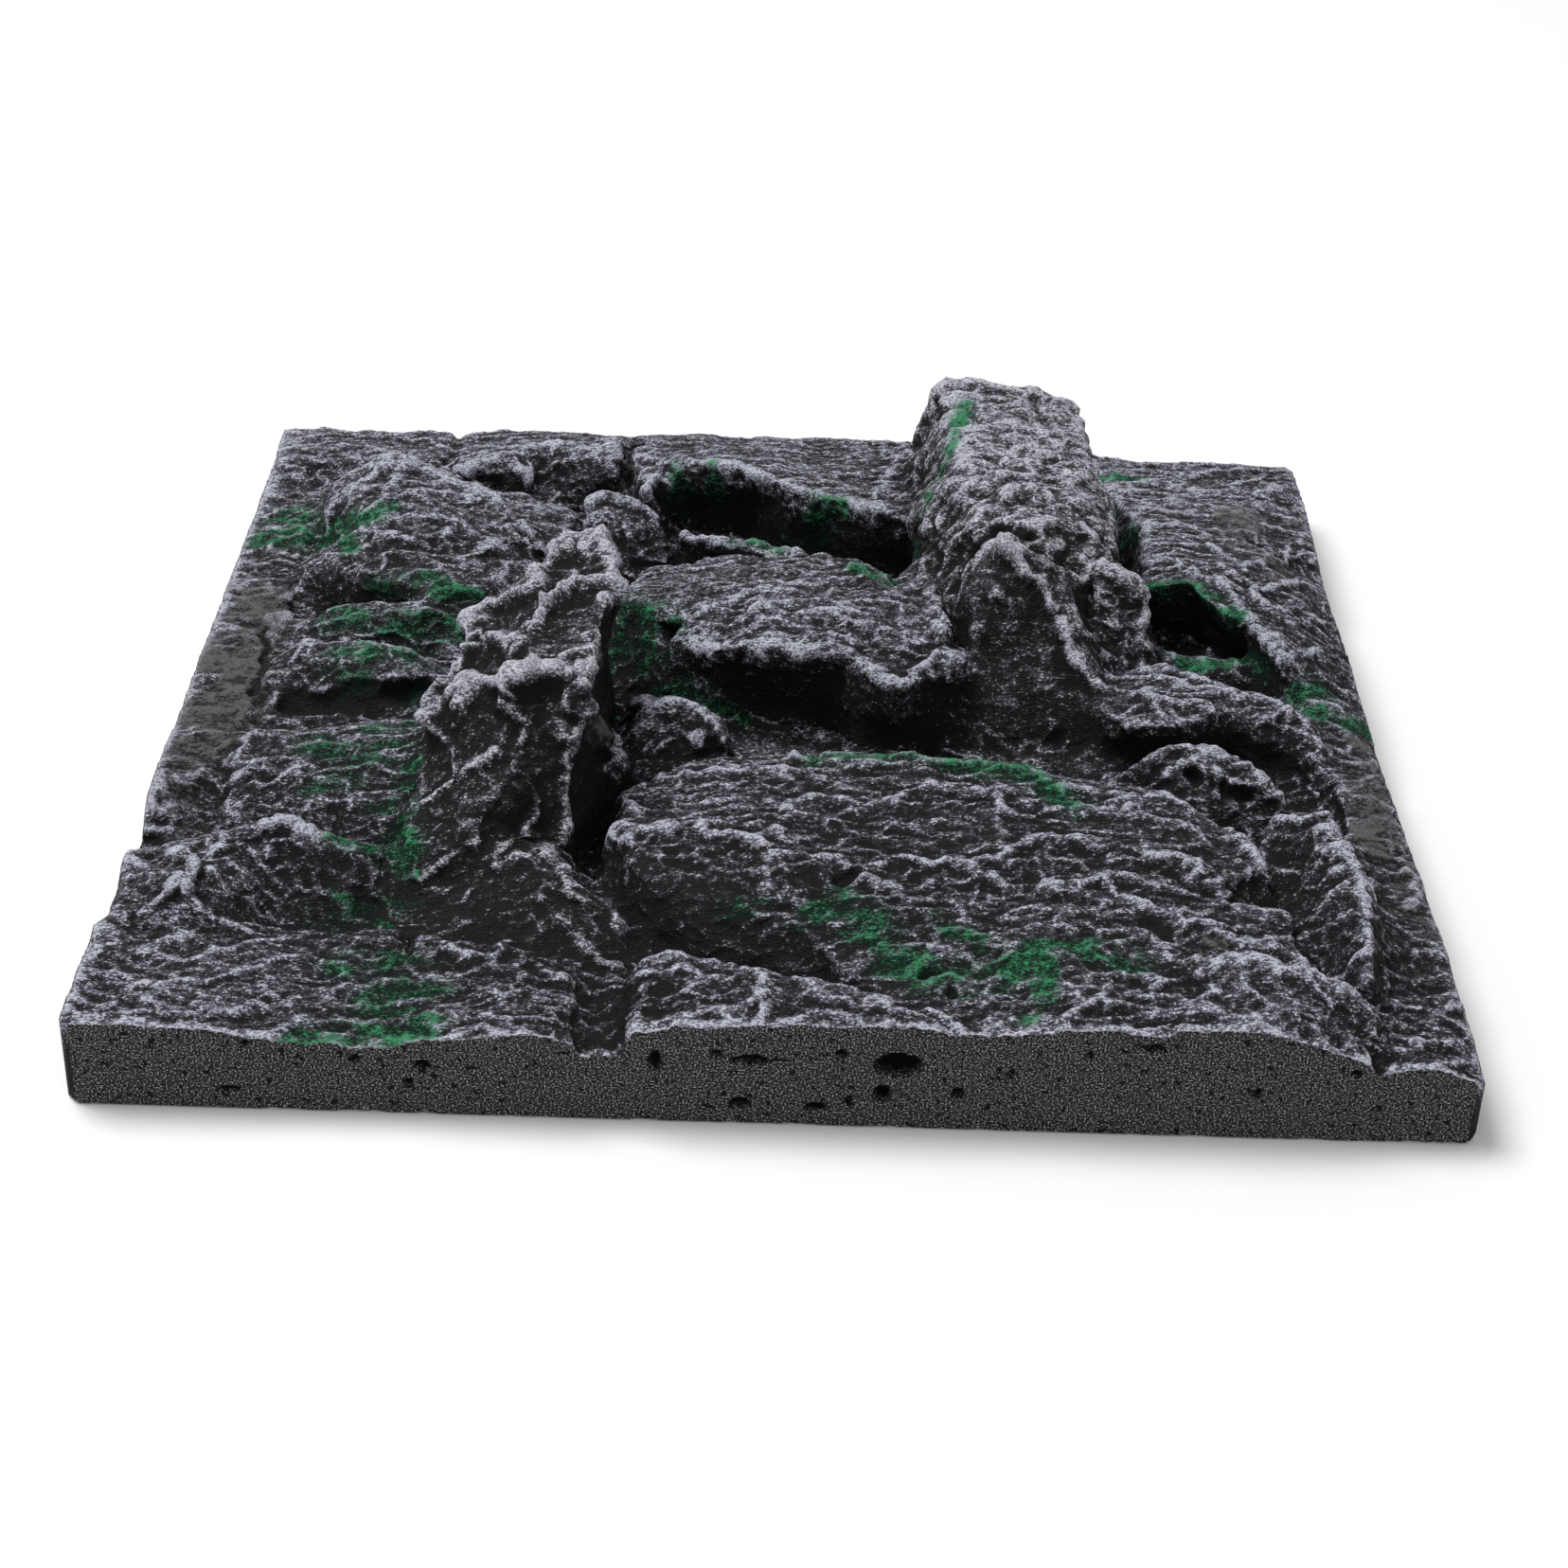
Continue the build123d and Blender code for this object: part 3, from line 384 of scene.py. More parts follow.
        [(49, 64, 54), (56, 66, 56), (63, 65, 56), (69, 66, 55), (76, 61, 54)],
        [(48, 52, 54), (53, 57, 55), (58, 58, 55), (62, 57, 55)],
        [(40, 47, 46), (42, 52, 48), (44, 48, 51)],
        [(45, 36, 49), (48, 36, 52), (52, 41, 54), (54, 40, 54)],
        [(40, 39, 45), (43, 33, 45)],
        [(73, 42, 53), (77, 35, 51), (81, 31, 46), (84, 33, 42)],
        [(40, 111, 50), (37, 118, 42), (33, 126, 30), (31, 117, 29)],
        [(22, 88, 35), (27, 100, 32), (32, 117, 29)],
    ],
    ("upper_ledge", 0.8, 4, 0.4): [[(48, 106, 57), (46, 93, 56), (47, 78, 55), (48, 68, 55), (48, 53, 54)]],
    ("upper_ledge", 1.6, 2.5, 0.4): [
        [(56, 43, 55), (59, 49, 55), (63, 51, 55), (66, 51, 55), (68, 47, 54)],
        [(57, 23, 53), (59, 28, 54), (63, 30, 54), (66, 36, 54)],
    ],
    ("upper_ledge_toe", *PLAIN): [
        [(55, 14, 56), (60, 15, 56), (65, 14, 53), (69, 14, 50)],
        [(52, 7, 46), (55, 7, 47)],
        [(48, 4, 38), (48, -1, 33), (46, -6, 31), (41, -11, 35)],
    ],
    ("upper_ledge_toe", 1.6, 2, 0.5): [[(48, 21, 43), (49, 23, 48), (52, 23, 51), (55, 14, 55),
        (58, 12, 53), (60, 10, 50), (62, 10, 50), (66, 8, 47), (69, 4, 42), (72, 1, 37), (74, -3, 33),
        (76, -5, 29), (79, -8, 28)]],
    ("upper_ledge_toe", 1.3, 5.5, 0.5): [[(51, 20, 49), (57, 15, 52)]],
    ("upper_ledge_lobe", *PLAIN): [
        [(91, 24, 41), (92, 19, 36), (92, 14, 31)],
        [(71, 7, 43), (75, 4, 38), (80, 11, 29), (83, -1, 28)],
        [(77, 25, 41), (80, 17, 39), (85, 14, 34)],
    ],
    ("upper_ledge_lobe", 1.6, 2.5, 0.3): [[(72, 22, 43), (77, 26, 44), (82, 23, 46), (87, 24, 43),
        (91, 24, 41)]],
}
# Stones whose strokes are broad rolled lobes
ROLLED = ("lower_ledge", "lower_ledge_front", "upper_ledge_toe")

# Holes and dark dents: (depth, radius, points)
PITS = {
    "groove across the toe": (2.2, 2.4, [(44, 23, 40), (46, 28, 48), (53, 31, 53), (61, 27, 53)]),
    "dent in the plateau": (1.8, 2, [(14, -98, 29), (17, -97, 29)]),
    "pit in the front boulder": (2.2, 1.6, [(32, -129, 25)]),
    "smaller pit beside it": (2, 1.2, [(36, -135, 25)]),
    "hole in the middle boulder": (2.5, 1.8, [(98, -45, 26)]),
    "slit in the middle boulder": (2, 1.2, [(105, -47, 24), (109, -48, 23), (112, -48, 22)]),
    "dent in the plateau front": (1.0, 2, [(81, -113, 29), (85, -116, 29)]),
    "gap behind the lower terrace": (2.5, 3.5, [(-123, -7, 17), (-113, -8, 19), (-102, -8, 21),
        (-90, -6, 23)]),
    "crack along the left edge": (1.5, 1.2, [(-136, 26, 20), (-132, 8, 19), (-133, -6, 18)]),
    "hole in the centre terrace": (4, 2.6, [(-30, 11, 30)]),
    "dent above the toe": (1.0, 2.5, [(53, 31, 53)]),
    "hole beside the buttress": (3.5, 2.4, [(-44, -45, 27)]),
}

# Streaks of moss: (stone they lie on, strength, width, points)
MOSS = [
    ("front_left_bed", 0.6, 6, [(-93, -123, 18), (-81, -120, 17)]),
    ("front_left_bed", 0.9, 4.5, [(-100, -150, 17), (-88, -145, 17), (-79, -147, 18), (-74, -145, 19)]),
    ("front_bed", 0.75, 6, [(-84, -137, 17), (-76, -133, 19)]),
    ("plateau_front", 0.7, 5, [(18, -114, 25), (25, -121, 25), (30, -127, 25)]),
    ("plateau_front", 0.85, 5, [(24, -124, 25), (33, -130, 25), (42, -132, 26), (47, -132, 27)]),
    ("plateau_front", 0.95, 4, [(50, -130, 28), (56, -124, 30), (61, -123, 30), (70, -123, 28),
        (76, -126, 28)]),
    ("plateau_front", 1.1, 2.5, [(57, -127, 30), (57, -133, 29), (56, -140, 27), (54, -145, 26)]),
    ("plateau_front", 0.6, 3.5, [(32, -110, 27), (38, -115, 26), (45, -121, 26)]),
    ("left_crest", 0.9, 1.8, [(-103, -86, 26), (-98, -87, 25), (-89, -84, 21)]),
    ("left_crest", 0.65, 5, [(-100, -100, 16), (-92, -96, 15), (-85, -97, 17)]),
    ("left_crest", 0.9, 2, [(-90, -100, 14), (-86, -103, 14)]),
    ("left_lower_terrace", 0.6, 6, [(-112, -37, 23), (-103, -43, 23), (-93, -40, 23)]),
    ("left_lower_terrace", 0.65, 5, [(-99, -29, 24), (-90, -27, 22)]),
    ("left_lower_terrace", 0.6, 4, [(-110, -53, 22), (-103, -51, 22)]),
    ("left_lower_terrace", 1, 3.5, [(-93, -61, 20), (-89, -53, 21), (-87, -46, 22)]),
    ("left_middle_terrace", 0.7, 5, [(-113, 3, 27), (-100, 4, 28), (-87, 8, 27)]),
    ("left_middle_terrace", 0.9, 3.5, [(-111, -5, 25), (-106, -4, 25)]),
    ("left_middle_terrace", 0.9, 3.5, [(-93, -7, 22), (-88, -12, 20)]),
    ("left_upper_terrace", 1.1, 3.5, [(-110, 39, 31), (-104, 36, 30), (-94, 37, 31), (-83, 32, 29),
        (-76, 34, 28)]),
    ("left_upper_terrace", 0.75, 4.5, [(-119, 28, 26), (-108, 24, 27), (-91, 23, 26), (-82, 26, 24)]),
    ("left_edge_strip", 0.75, 7, [(-143, 86, 20), (-138, 92, 20), (-134, 80, 20), (-144, 78, 20)]),
    ("crag_step", 0.9, 3, [(-117, 55, 30), (-119, 66, 31)]),
    ("crag", 1.1, 5, [(-125, 74, 23), (-118, 67, 32), (-112, 69, 34)]),
    ("back_terrace", 0.9, 3, [(-32, 105, 27), (-29, 104, 28)]),
    ("back_terrace", 0.9, 2.5, [(-22, 101, 33), (-20, 101, 28)]),
    ("back_terrace", 0.9, 2, [(-30, 104, 18)]),
    ("back_terrace", 0.9, 3, [(7, 84, 31), (14, 80, 35)]),
    ("back_terrace", 0.9, 2.5, [(-1, 91, 21), (6, 85, 25), (14, 81, 24)]),
    ("back_right_slope", 1, 4, [(88, 128, 24), (94, 130, 23), (101, 129, 22)]),
    ("back_right_slope", 0.9, 2, [(92, 108, 20), (92, 100, 19)]),
    ("back_right_slope", 0.9, 2.5, [(94, 91, 20), (96, 86, 24)]),
    ("centre_terrace", 0.9, 2.5, [(-18, -2, 17), (-13, -1, 13), (-8, -5, 12)]),
    ("centre_terrace", 0.7, 4.5, [(-42, 23, 32), (-32, 14, 33), (-30, 10, 30)]),
    ("centre_terrace", 0.9, 3.5, [(-36, 14, 28), (-35, 9, 21)]),
    ("centre_terrace", 0.9, 3.5, [(-30, 4, 17), (-21, -1, 17)]),
    ("centre_terrace", 0.9, 3.5, [(-44, 18, 22), (-43, 15, 20)]),
    ("centre_terrace", 0.9, 3.5, [(19, 41, 34), (27, 34, 35)]),
    ("centre_terrace", 1.1, 2, [(-37, 14, 26), (-34, 11, 26), (-35, 9, 21)]),
    ("centre_terrace", 0.9, 1.8, [(-29, 4, 19)]),
    ("centre_terrace", 0.9, 1.8, [(-13, -2, 17), (-13, -1, 14)]),
    ("centre_terrace", 0.9, 3.5, [(-40, -4, 14), (-34, -10, 18)]),
    ("hollow_ridge", 0.9, 3.5, [(-14, 66, 30), (-4, 63, 30)]),
    ("dome", 0.9, 2, [(-12, -30, 20), (-6, -26, 13)]),
    ("plateau", 0.5, 3.5, [(-11, -106, 25), (-3, -105, 26)]),
    ("plateau", 0.75, 5, [(8, -108, 26), (13, -105, 27), (18, -110, 26), (22, -112, 26)]),
    ("plateau", 0.8, 4.5, [(9, -46, 28), (20, -43, 28), (32, -45, 29), (42, -48, 29), (48, -50, 29),
        (56, -49, 29), (61, -57, 29), (68, -66, 30)]),
    ("right_edge_strip", 0.9, 3.5, [(134, -4, 21), (141, -5, 20), (149, -2, 15)]),
    ("right_edge_strip", 0.9, 3.5, [(131, 2, 23), (137, 6, 22), (140, 3, 21)]),
    ("right_edge_strip", 0.9, 3.5, [(134, -5, 20), (138, -5, 20), (142, -6, 19), (147, -3, 15)]),
    ("hollow_step", 0.9, 2.4, [(99, 23, 24), (104, 20, 23), (110, 19, 23), (116, 19, 23), (123, 18, 24),
        (124, 12, 26)]),
    ("hollow_step", 0.9, 2, [(122, 15, 19), (124, 12, 24)]),
    ("right_plateau", 0.9, 3.5, [(96, 43, 30), (99, 43, 31), (104, 44, 32), (108, 39, 33)]),
    ("right_plateau", 0.9, 3.5, [(111, 37, 30), (114, 31, 30), (116, 28, 31)]),
    ("lower_ledge_front", 1.2, 4.5, [(-88, -71, 22), (-87, -80, 24), (-85, -88, 25)]),
    ("upper_ledge", 0.9, 2.6, [(48, 100, 56), (45, 86, 55), (44, 75, 54), (40, 69, 49), (38, 63, 45),
        (38, 56, 44)]),
    ("upper_ledge", 0.9, 2.2, [(35, 60, 33), (32, 46, 32)]),
]

# Bare patches without paint: (width, points)
BARE = {
    "beside the dome": (3, [(-45, -56, 41), (-44, -39, 29)]),
    "chip in the plateau front": (2, [(94, -117, 28), (96, -117, 28)]),
    "chip on the right edge": (3.5, [(144, -16, 19)]),
    "worn place on the right edge": (2.5, [(138, -55, 20), (140, -66, 19)]),
}

# Lighter (+) and darker (-) stretches of the paint, some of the darker ones painted shade, as in the trough
# beside the front boulder: (amount, radius, x, y)
TONES_AND_SHADE = [
    (0.14, 26, -130, -128), (0.12, 18, -62, -135), (-0.40, 22, -66, -104), (-0.10, 14, -100, -96),
    (0.12, 22, -5, -140), (0.20, 16, 105, -132), (-0.44, 14, -32, -100), (-0.42, 15, -14, -114),
    (-0.22, 14, 10, -124), (0.10, 16, -22, -78), (-0.10, 22, 72, -90), (0.12, 26, 0, 5),
    (-0.10, 14, 92, -46), (-0.30, 12, 112, -26), (0.12, 14, 102, -6), (0.28, 32, 62, 85),
    (0.22, 12, 62, 0), (0.27, 30, -100, 98), (0.14, 32, 115, 110), (0.08, 20, -110, 5),
    (-0.20, 10, -110, -12), (-0.22, 10, -104, 46), (-0.30, 10, -44, -60), (0.10, 20, -140, -70),
    (-0.10, 14, 118, -98), (0.05, 25, 140, -40), (-0.50, 10, -34, -143), (-0.15, 16, -60, -98),
    (-0.20, 24, 20, -88), (0.35, 5, -22, 4),
]
# Smooth warm-grey stretches without granules: (amount, radius x, radius y, x, y)
SMOOTH = [
    (1.0, 12, 60, -141, 5), (0.6, 9, 40, 143, -55), (0.7, 18, 12, 122, 97), (0.5, 16, 14, 132, 70),
    (0.5, 8, 10, 143, -92),
]
# Voids in the cut faces: (x, z, half width, half height) on the front, and how many elsewhere
VOIDS = [
    (26, 16.3, 4.2, 2.2), (-5, 16.4, 3.4, 0.9), (23, 8.7, 1.6, 1.5), (-25, 15.7, 1.2, 1.7),
    (-7, 5.1, 2.0, 0.9), (9, 4.5, 2.0, 0.9), (39, 9.3, 1.1, 1.0), (-74, 12.6, 1.4, 1.0),
    (-77, 8.0, 0.9, 0.9), (-115, 4.8, 2.4, 0.5), (-88, 13.8, 0.8, 0.7), (-111, 16.9, 0.7, 0.7),
    (79, 22.7, 2.4, 0.6), (102, 11.7, 0.9, 0.8), (66, 20.3, 0.8, 0.7), (122, 17.4, 1.0, 0.7),
    (14, 18.6, 1.2, 0.8), (-12, 17.8, 1.0, 0.8), (50, 15.0, 0.7, 0.7), (16, 6.8, 0.8, 0.7),
]
OTHER_VOIDS = 16
# Stones worn into soft mounds, and how strongly
MELTED = (
    (("left_upper_terrace", "left_middle_terrace", "left_lower_terrace"), 260),
    (("crag_step", "hollow_step", "shelf"), 110),
    (("upper_ledge_toe",), 40),
)

# ---------------------------------------------------------------- noise and masks

dice = np.random.default_rng(SEED)
SHUFFLE = dice.permutation(256)
GRADIENTS = dice.normal(size=(256, 3)).astype(np.float32)
GRADIENTS /= np.linalg.norm(GRADIENTS, axis=1, keepdims=True)


def noise(places, scale, shift=0.0):
    """Gradient noise from about -1 to 1, in cells of a scale in mm; each shift is another pattern."""
    cells = places / np.float32(scale) + np.float32(shift)
    corner = np.floor(cells).astype(np.int32)
    inside = cells - corner
    fade = inside**3 * (inside * (inside * 6 - 15) + 10)
    total = np.zeros(len(cells), np.float32)
    for step in itertools.product((0, 1), repeat=3):
        x, y, z = ((corner[:, k] + step[k]) & 255 for k in range(3))
        gradient = GRADIENTS[SHUFFLE[(SHUFFLE[(SHUFFLE[x] + y) & 255] + z) & 255]]
        weight = np.ones(len(cells), np.float32)
        for k in range(3):
            weight *= fade[:, k] if step[k] else 1 - fade[:, k]
        total += weight * np.einsum("ij,ij->i", gradient, inside - np.array(step, np.float32))
    return 1.7 * total


def warp(places, scale, amount, shift):
    """The places moved about by slow noise, so that ridges wander instead of lying in cells."""
    moved = [noise(places, scale, shift + 7 * k) for k in range(3)]
    return places + amount * np.stack(moved, axis=1)


def ridged(places, scale, shift=0.0):
    """Thin crests between broad troughs, 0 to 1."""
    return np.clip(1 - 2.2 * np.abs(noise(places, scale, shift)), 0, 1)


def lumps(places, scale, shift=0.0):
    """Broad round lumps between thin creases, 0 to 1."""
    return np.clip(2.2 * np.abs(noise(places, scale, shift)), 0, 1) ** 0.7


def stretched(places, *factors):
    """The places scaled along x, y and z; a factor under 1 draws a pattern out along that axis."""
    return places * np.array(factors, np.float32)


def step(value, low, high):
    """Smooth step from 0 at low to 1 at high."""
    t = np.clip((value - low) / (high - low), 0, 1)
    return t * t * (3 - 2 * t)


def inside_plot(xy, plot):
    """Which of the points lie inside a plot."""
    hit = np.zeros(len(xy), bool)
    for (x0, y0), (x1, y1) in zip(plot, plot[1:] + plot[:1]):
        if y0 == y1:
            continue
        spans = (xy[:, 1] < y0) != (xy[:, 1] < y1)
        crossing = x0 + (xy[:, 1] - y0) * (x1 - x0) / (y1 - y0)
        hit ^= spans & (xy[:, 0] < crossing)
    return hit


def over_stones(places, names):
    """1 over the plots of the named stones and 0 elsewhere."""
    zone = np.zeros(len(places), np.float32)
    for name in names:
        zone[inside_plot(places[:, :2], PLOTS[name])] = 1
    return zone


def rim_distance(places):
    """How far inside the nearest cut face the places lie."""
    return np.minimum(HALF - np.abs(places[:, 0]), HALF - np.abs(places[:, 1]))


# ---------------------------------------------------------------- the skin of the relief


class Skin:
    """The whole relief as one watertight mesh of small quads, worked on as arrays in mm."""

    def __init__(self, mesh):
        self.mesh = mesh
        count = len(mesh.vertices)
        flat = np.empty(3 * count, np.float32)
        mesh.vertices.foreach_get("co", flat)
        self.at = flat.reshape(-1, 3) / np.float32(MM)
        ends = np.empty(2 * len(mesh.edges), np.int32)
        mesh.edges.foreach_get("vertices", ends)
        self.a, self.b = ends[0::2], ends[1::2]
        self.degree = np.bincount(ends, minlength=count).astype(np.float32)

    def blur(self, values, times=1):
        """Each value replaced by the mean of its neighbours' values."""
        values = values.astype(np.float32)
        if values.ndim == 2:
            return np.stack([self.blur(column, times) for column in values.T], axis=1)
        for _ in range(times):
            total = np.bincount(self.a, values[self.b], len(values))
            total += np.bincount(self.b, values[self.a], len(values))
            values = (total / self.degree).astype(np.float32)
        return values

    def store(self):
        """Write the places back to the mesh."""
        self.mesh.vertices.foreach_set("co", (self.at * np.float32(MM)).ravel())
        self.mesh.update()

    def normals(self):
        """Unit normals of the stored mesh."""
        flat = np.empty(3 * len(self.at), np.float32)
        self.mesh.vertex_normals.foreach_get("vector", flat)
        return flat.reshape(-1, 3)

    def write(self, name, values):
        """Keep one value per point on the mesh, for the materials."""
        layer = self.mesh.attributes.new(name, "FLOAT", "POINT")
        layer.data.foreach_set("value", values.astype(np.float32))


def grow_skin():
    """All stones and the backing grown into one skin by a voxel remesh."""
    joined = bmesh.new()
    for node in frame["nodes"].values():
        joined.from_mesh(node.data)
    mesh = bpy.data.meshes.new("mass")
    joined.to_mesh(mesh)
    joined.free()
    mass = bpy.data.objects.new("mass", mesh)
    bpy.context.scene.collection.objects.link(mass)
    remesh = mass.modifiers.new("skin", "REMESH")
    remesh.mode = "VOXEL"
    remesh.voxel_size = VOXEL * MM
    shown = mass.evaluated_get(bpy.context.evaluated_depsgraph_get())
    grown = Skin(bpy.data.meshes.new_from_object(shown))
    bpy.data.objects.remove(mass)
    bpy.data.meshes.remove(mesh)
    return grown


def soften(times):
    """Round the stones' edges, while the cut faces and the back stay flat."""
    fixed = [np.abs(skin.at[:, 0]) > HALF - CUT, np.abs(skin.at[:, 1]) > HALF - CUT,
             skin.at[:, 2] < CUT]
    kept = [np.sign(skin.at[:, 0]) * HALF, np.sign(skin.at[:, 1]) * HALF, 0 * skin.at[:, 2]]
    for _ in range(times):
        skin.at = 0.5 * skin.at + 0.5 * skin.blur(skin.at)
        for axis in range(3):
            skin.at[:, axis] = np.where(fixed[axis], kept[axis], skin.at[:, axis])
    return fixed


def fill_creases(share, inward):
    """Raise the bottoms of the narrow creases between stones, as one moulded skin has them."""
    skin.store()
    normal = skin.normals()
    mean = skin.blur(skin.at, 60)
    hollow = np.clip(-np.einsum("ij,ij->i", skin.at - mean, normal), 0, CREASE)
    skin.at += (share * inward * hollow)[:, None] * normal


skin = grow_skin()
soften(8)
inward = step(rim_distance(skin.at), 0.5, 6)
inward *= skin.at[:, 2] > 1.0
for _ in range(3):
    fill_creases(0.8, inward)
on_x, on_y, on_back = soften(4)
for names, times in MELTED:
    zone = skin.blur(over_stones(skin.at, names) * (skin.at[:, 2] > 1) * inward, 40)[:, None]
    skin.at += zone * (skin.blur(skin.at, times) - skin.at)
sway = step(rim_distance(skin.at), 0, 25)
for axis, shift in ((0, 33.1), (1, 47.7)):
    skin.at[:, axis] += sway * (2.6 * noise(skin.at, 24, shift) + 1.2 * noise(skin.at, 10, shift))
skin.store()

# ---------------------------------------------------------------- rock texture, strokes and voids

normal = skin.normals()
at = skin.at
x, y, z = at.T
up = np.clip(normal[:, 2], 0, 1)
rim = rim_distance(at)
raised = z > BACKING + 6
ledge = skin.blur(over_stones(at, LEDGES) * raised, 10)
fin = (x < -38) & (x > -84) & (y > -92) & (y < 20) & (z > 26)  # the upright part of the left ledge
fin = skin.blur(fin.astype(np.float32), 10)
thumb = skin.blur(over_stones(at, ["upper_ledge_toe"]) * raised, 10)
smooth = np.zeros(len(at), np.float32)
for amount, width, depth, px, py in SMOOTH:
    smooth = np.maximum(smooth, amount * np.exp(-(((x - px) / width) ** 2 + ((y - py) / depth) ** 2)))
worn = np.clip(0.9 + 0.9 * noise(at, 14, 23.2) + 0.5 * noise(at, 5, 29.4), 0, 1)
smooth *= step(up, 0.6, 0.9) * worn

# Slow lumps, wavelets that run across the panel, and grains; scallops on the fin, folds on ledges
wavering = warp(warp(at, 8, 1.8, 21.3), 3.2, 0.8, 17.9)
drift = warp(at, 16, 4.0, 3.1)
slow = noise(drift, 26, 1.3) + 0.5 * noise(drift, 12, 5.7)
waves = ridged(stretched(warp(wavering, 7, 1.8, 9.2), 0.5, 1.1, 0.9), WAVE, 2.2)
ripples = ridged(stretched(wavering, 0.55, 1.1, 1), RIPPLE, 8.1)
folds = noise(stretched(wavering, 1.2, 1.2, 0.4), 7, 61.3)
grains = noise(at, GRAIN, 6.6)
scallops = lumps(warp(at, 9, 2.0, 12.5), SCALLOP, 3.3)
height = 0.9 * slow
height += (1 - fin) * (1 - 0.4 * ledge) * (0.25 + 0.5 * step(up, 0.2, 0.7)) * (waves - 0.3)
height += fin * (0.6 * (scallops - 0.55) - 0.9)
height += ledge * (1 - fin) * step(y, 0, 25) * (1.2 * (lumps(drift, 15, 51.9) - 0.5) + folds)
height *= 1 - 0.6 * thumb
height += (1 - 0.4 * smooth - 0.6 * thumb) * (0.34 * (ripples - 0.35) + 0.24 * grains)


def near_line(points, width, reach=3.0):
    """Points of the skin near a line, and how far each is from it in widths."""
    line = np.array(points, np.float32)
    low, high = line.min(axis=0) - reach * width, line.max(axis=0) + reach * width
    near = np.flatnonzero(np.all((wavering > low) & (wavering < high), axis=1))
    squash = np.array([1, 1, 0.6], np.float32)
    places, line = wavering[near] * squash, line * squash
    gap = np.linalg.norm(places - line[0], axis=1)
    for start, end in zip(line, line[1:]):
        run = end - start
        t = np.clip((places - start) @ run / max(np.dot(run, run), 1e-6), 0, 1)
        gap = np.minimum(gap, np.linalg.norm(places - start - t[:, None] * run, axis=1))
    return near, gap / width


def brush_stroke(lift, width, cover, points):
    """An uneven ridge along a line, with paint on its crest."""
    near, gap = near_line(points, 0.9 * width)
    height[near] += 0.9 * lift * np.exp(-gap**2) * uneven[near]
    paint[near] = np.maximum(paint[near], 1.2 * cover * np.exp(-1.4 * gap**2) * uneven[near])


def rolled_lobe(lift, width, cover, points):
    """A rounder ridge on a broad base, as the ledges' lobes have them."""
    near, gap = near_line(points, 0.75 * width, 6.0)
    broken = 0.7 + 0.4 * uneven[near]
    height[near] += 1.1 * lift * np.exp(-gap**2) * broken
    height[near] += 0.5 * lift * np.exp(-((gap / 2.6) ** 2))
    paint[near] = np.maximum(paint[near], 1.3 * cover * np.exp(-1.4 * gap**2) * broken)


paint = np.zeros(len(at), np.float32)
uneven = np.clip(0.8 + 0.8 * noise(at, 6, 4.1) + 0.5 * noise(at, 2.2, 14.7), 0.05, 1.6)
for (stone, lift, width, cover), lines in RIDGES.items():
    stroke = rolled_lobe if stone in ROLLED else brush_stroke
    for points in lines:
        stroke(lift, width, cover, points)
for depth, radius, points in PITS.values():
    near, gap = near_line(points, radius)
    height[near] -= depth * np.exp(-gap**4)
    paint[near] -= 0.8 * np.exp(-gap**4)

floor = step(z, BACKING + 1.2, BACKING + 0.3) * (up > 0.5)
height = (1 - floor) * height - floor * (0.4 + 0.5 * np.abs(height))

# Near the rim the surface moves only up or down, and the cut face below follows it
inward = step(rim, 0, 3)[:, None]
lifted = np.stack([0 * x, 0 * x, height], axis=1)
push = inward * normal * height[:, None] + (1 - inward) * lifted
sides = [(on_x & (x < 0), y), (on_x & (x > 0), y), (on_y & (y < 0), x), (on_y & (y > 0), x)]
for side, run in sides:
    bins = np.clip(((run + HALF) / COLUMN).astype(int), 0, int(2 * HALF / COLUMN))
    top = np.ones(bins.max() + 1, np.float32)
    np.maximum.at(top, bins[side], z[side])
    face = side & ~on_back
    fall = np.clip(z[face] / top[bins[face]], 0, 1) ** 2
    push[face] = np.stack([0 * fall, 0 * fall, height[face] * fall], axis=1)
push[on_back] = 0
skin.at = at + push

# Voids of the foam where it is cut, dented in and painted black as shade, and a chipped lower edge
void = np.zeros(len(at), np.float32)


def dent(side, run, axis, inwards, voids):
    """Hollow out voids in one cut face."""
    for px, pz, half_width, half_height in voids:
        half_width, half_height = 1.2 * half_width, 1.3 * half_height
        near = np.flatnonzero(side & (np.abs(run - px) < 2 * half_width + 2))
        q = ((run[near] - px) / half_width) ** 2 + ((skin.at[near, 2] - pz) / half_height) ** 2
        bowl = np.sqrt(np.clip(1 - q, 0, 1))
        skin.at[near, axis] += inwards * 1.6 * min(half_width, half_height) * bowl
        # Painted shade: the inside of each void is marked to be coloured near black
        void[near] = np.maximum(void[near], step(q, 1.3, 0.7))


def random_voids(low, high):
    """Scattered voids for a side that has none of its own."""
    return [(dice.uniform(5 - HALF, HALF - 5), dice.uniform(low, high), dice.uniform(0.8, 1.9),
             dice.uniform(0.6, 1.3)) for _ in range(OTHER_VOIDS)]


dent(sides[2][0], x, 1, 1, VOIDS)
dent(sides[3][0], x, 1, -1, random_voids(3, 16))
dent(sides[0][0], y, 0, 1, random_voids(3, 16))
dent(sides[1][0], y, 0, -1, random_voids(3, 16))
chip = np.clip(noise(at, 7, 8.8) + 0.5 * noise(at, 2.5, 1.1), 0, 1) * step(z, 1.6, 0)
for axis, on_side in ((0, on_x), (1, on_y)):
    skin.at[:, axis] -= np.where(on_side, np.sign(at[:, axis]) * 0.8 * chip, 0)
skin.at[:, 2] = np.where(on_back, 0, np.maximum(skin.at[:, 2], 0.05))
skin.store()
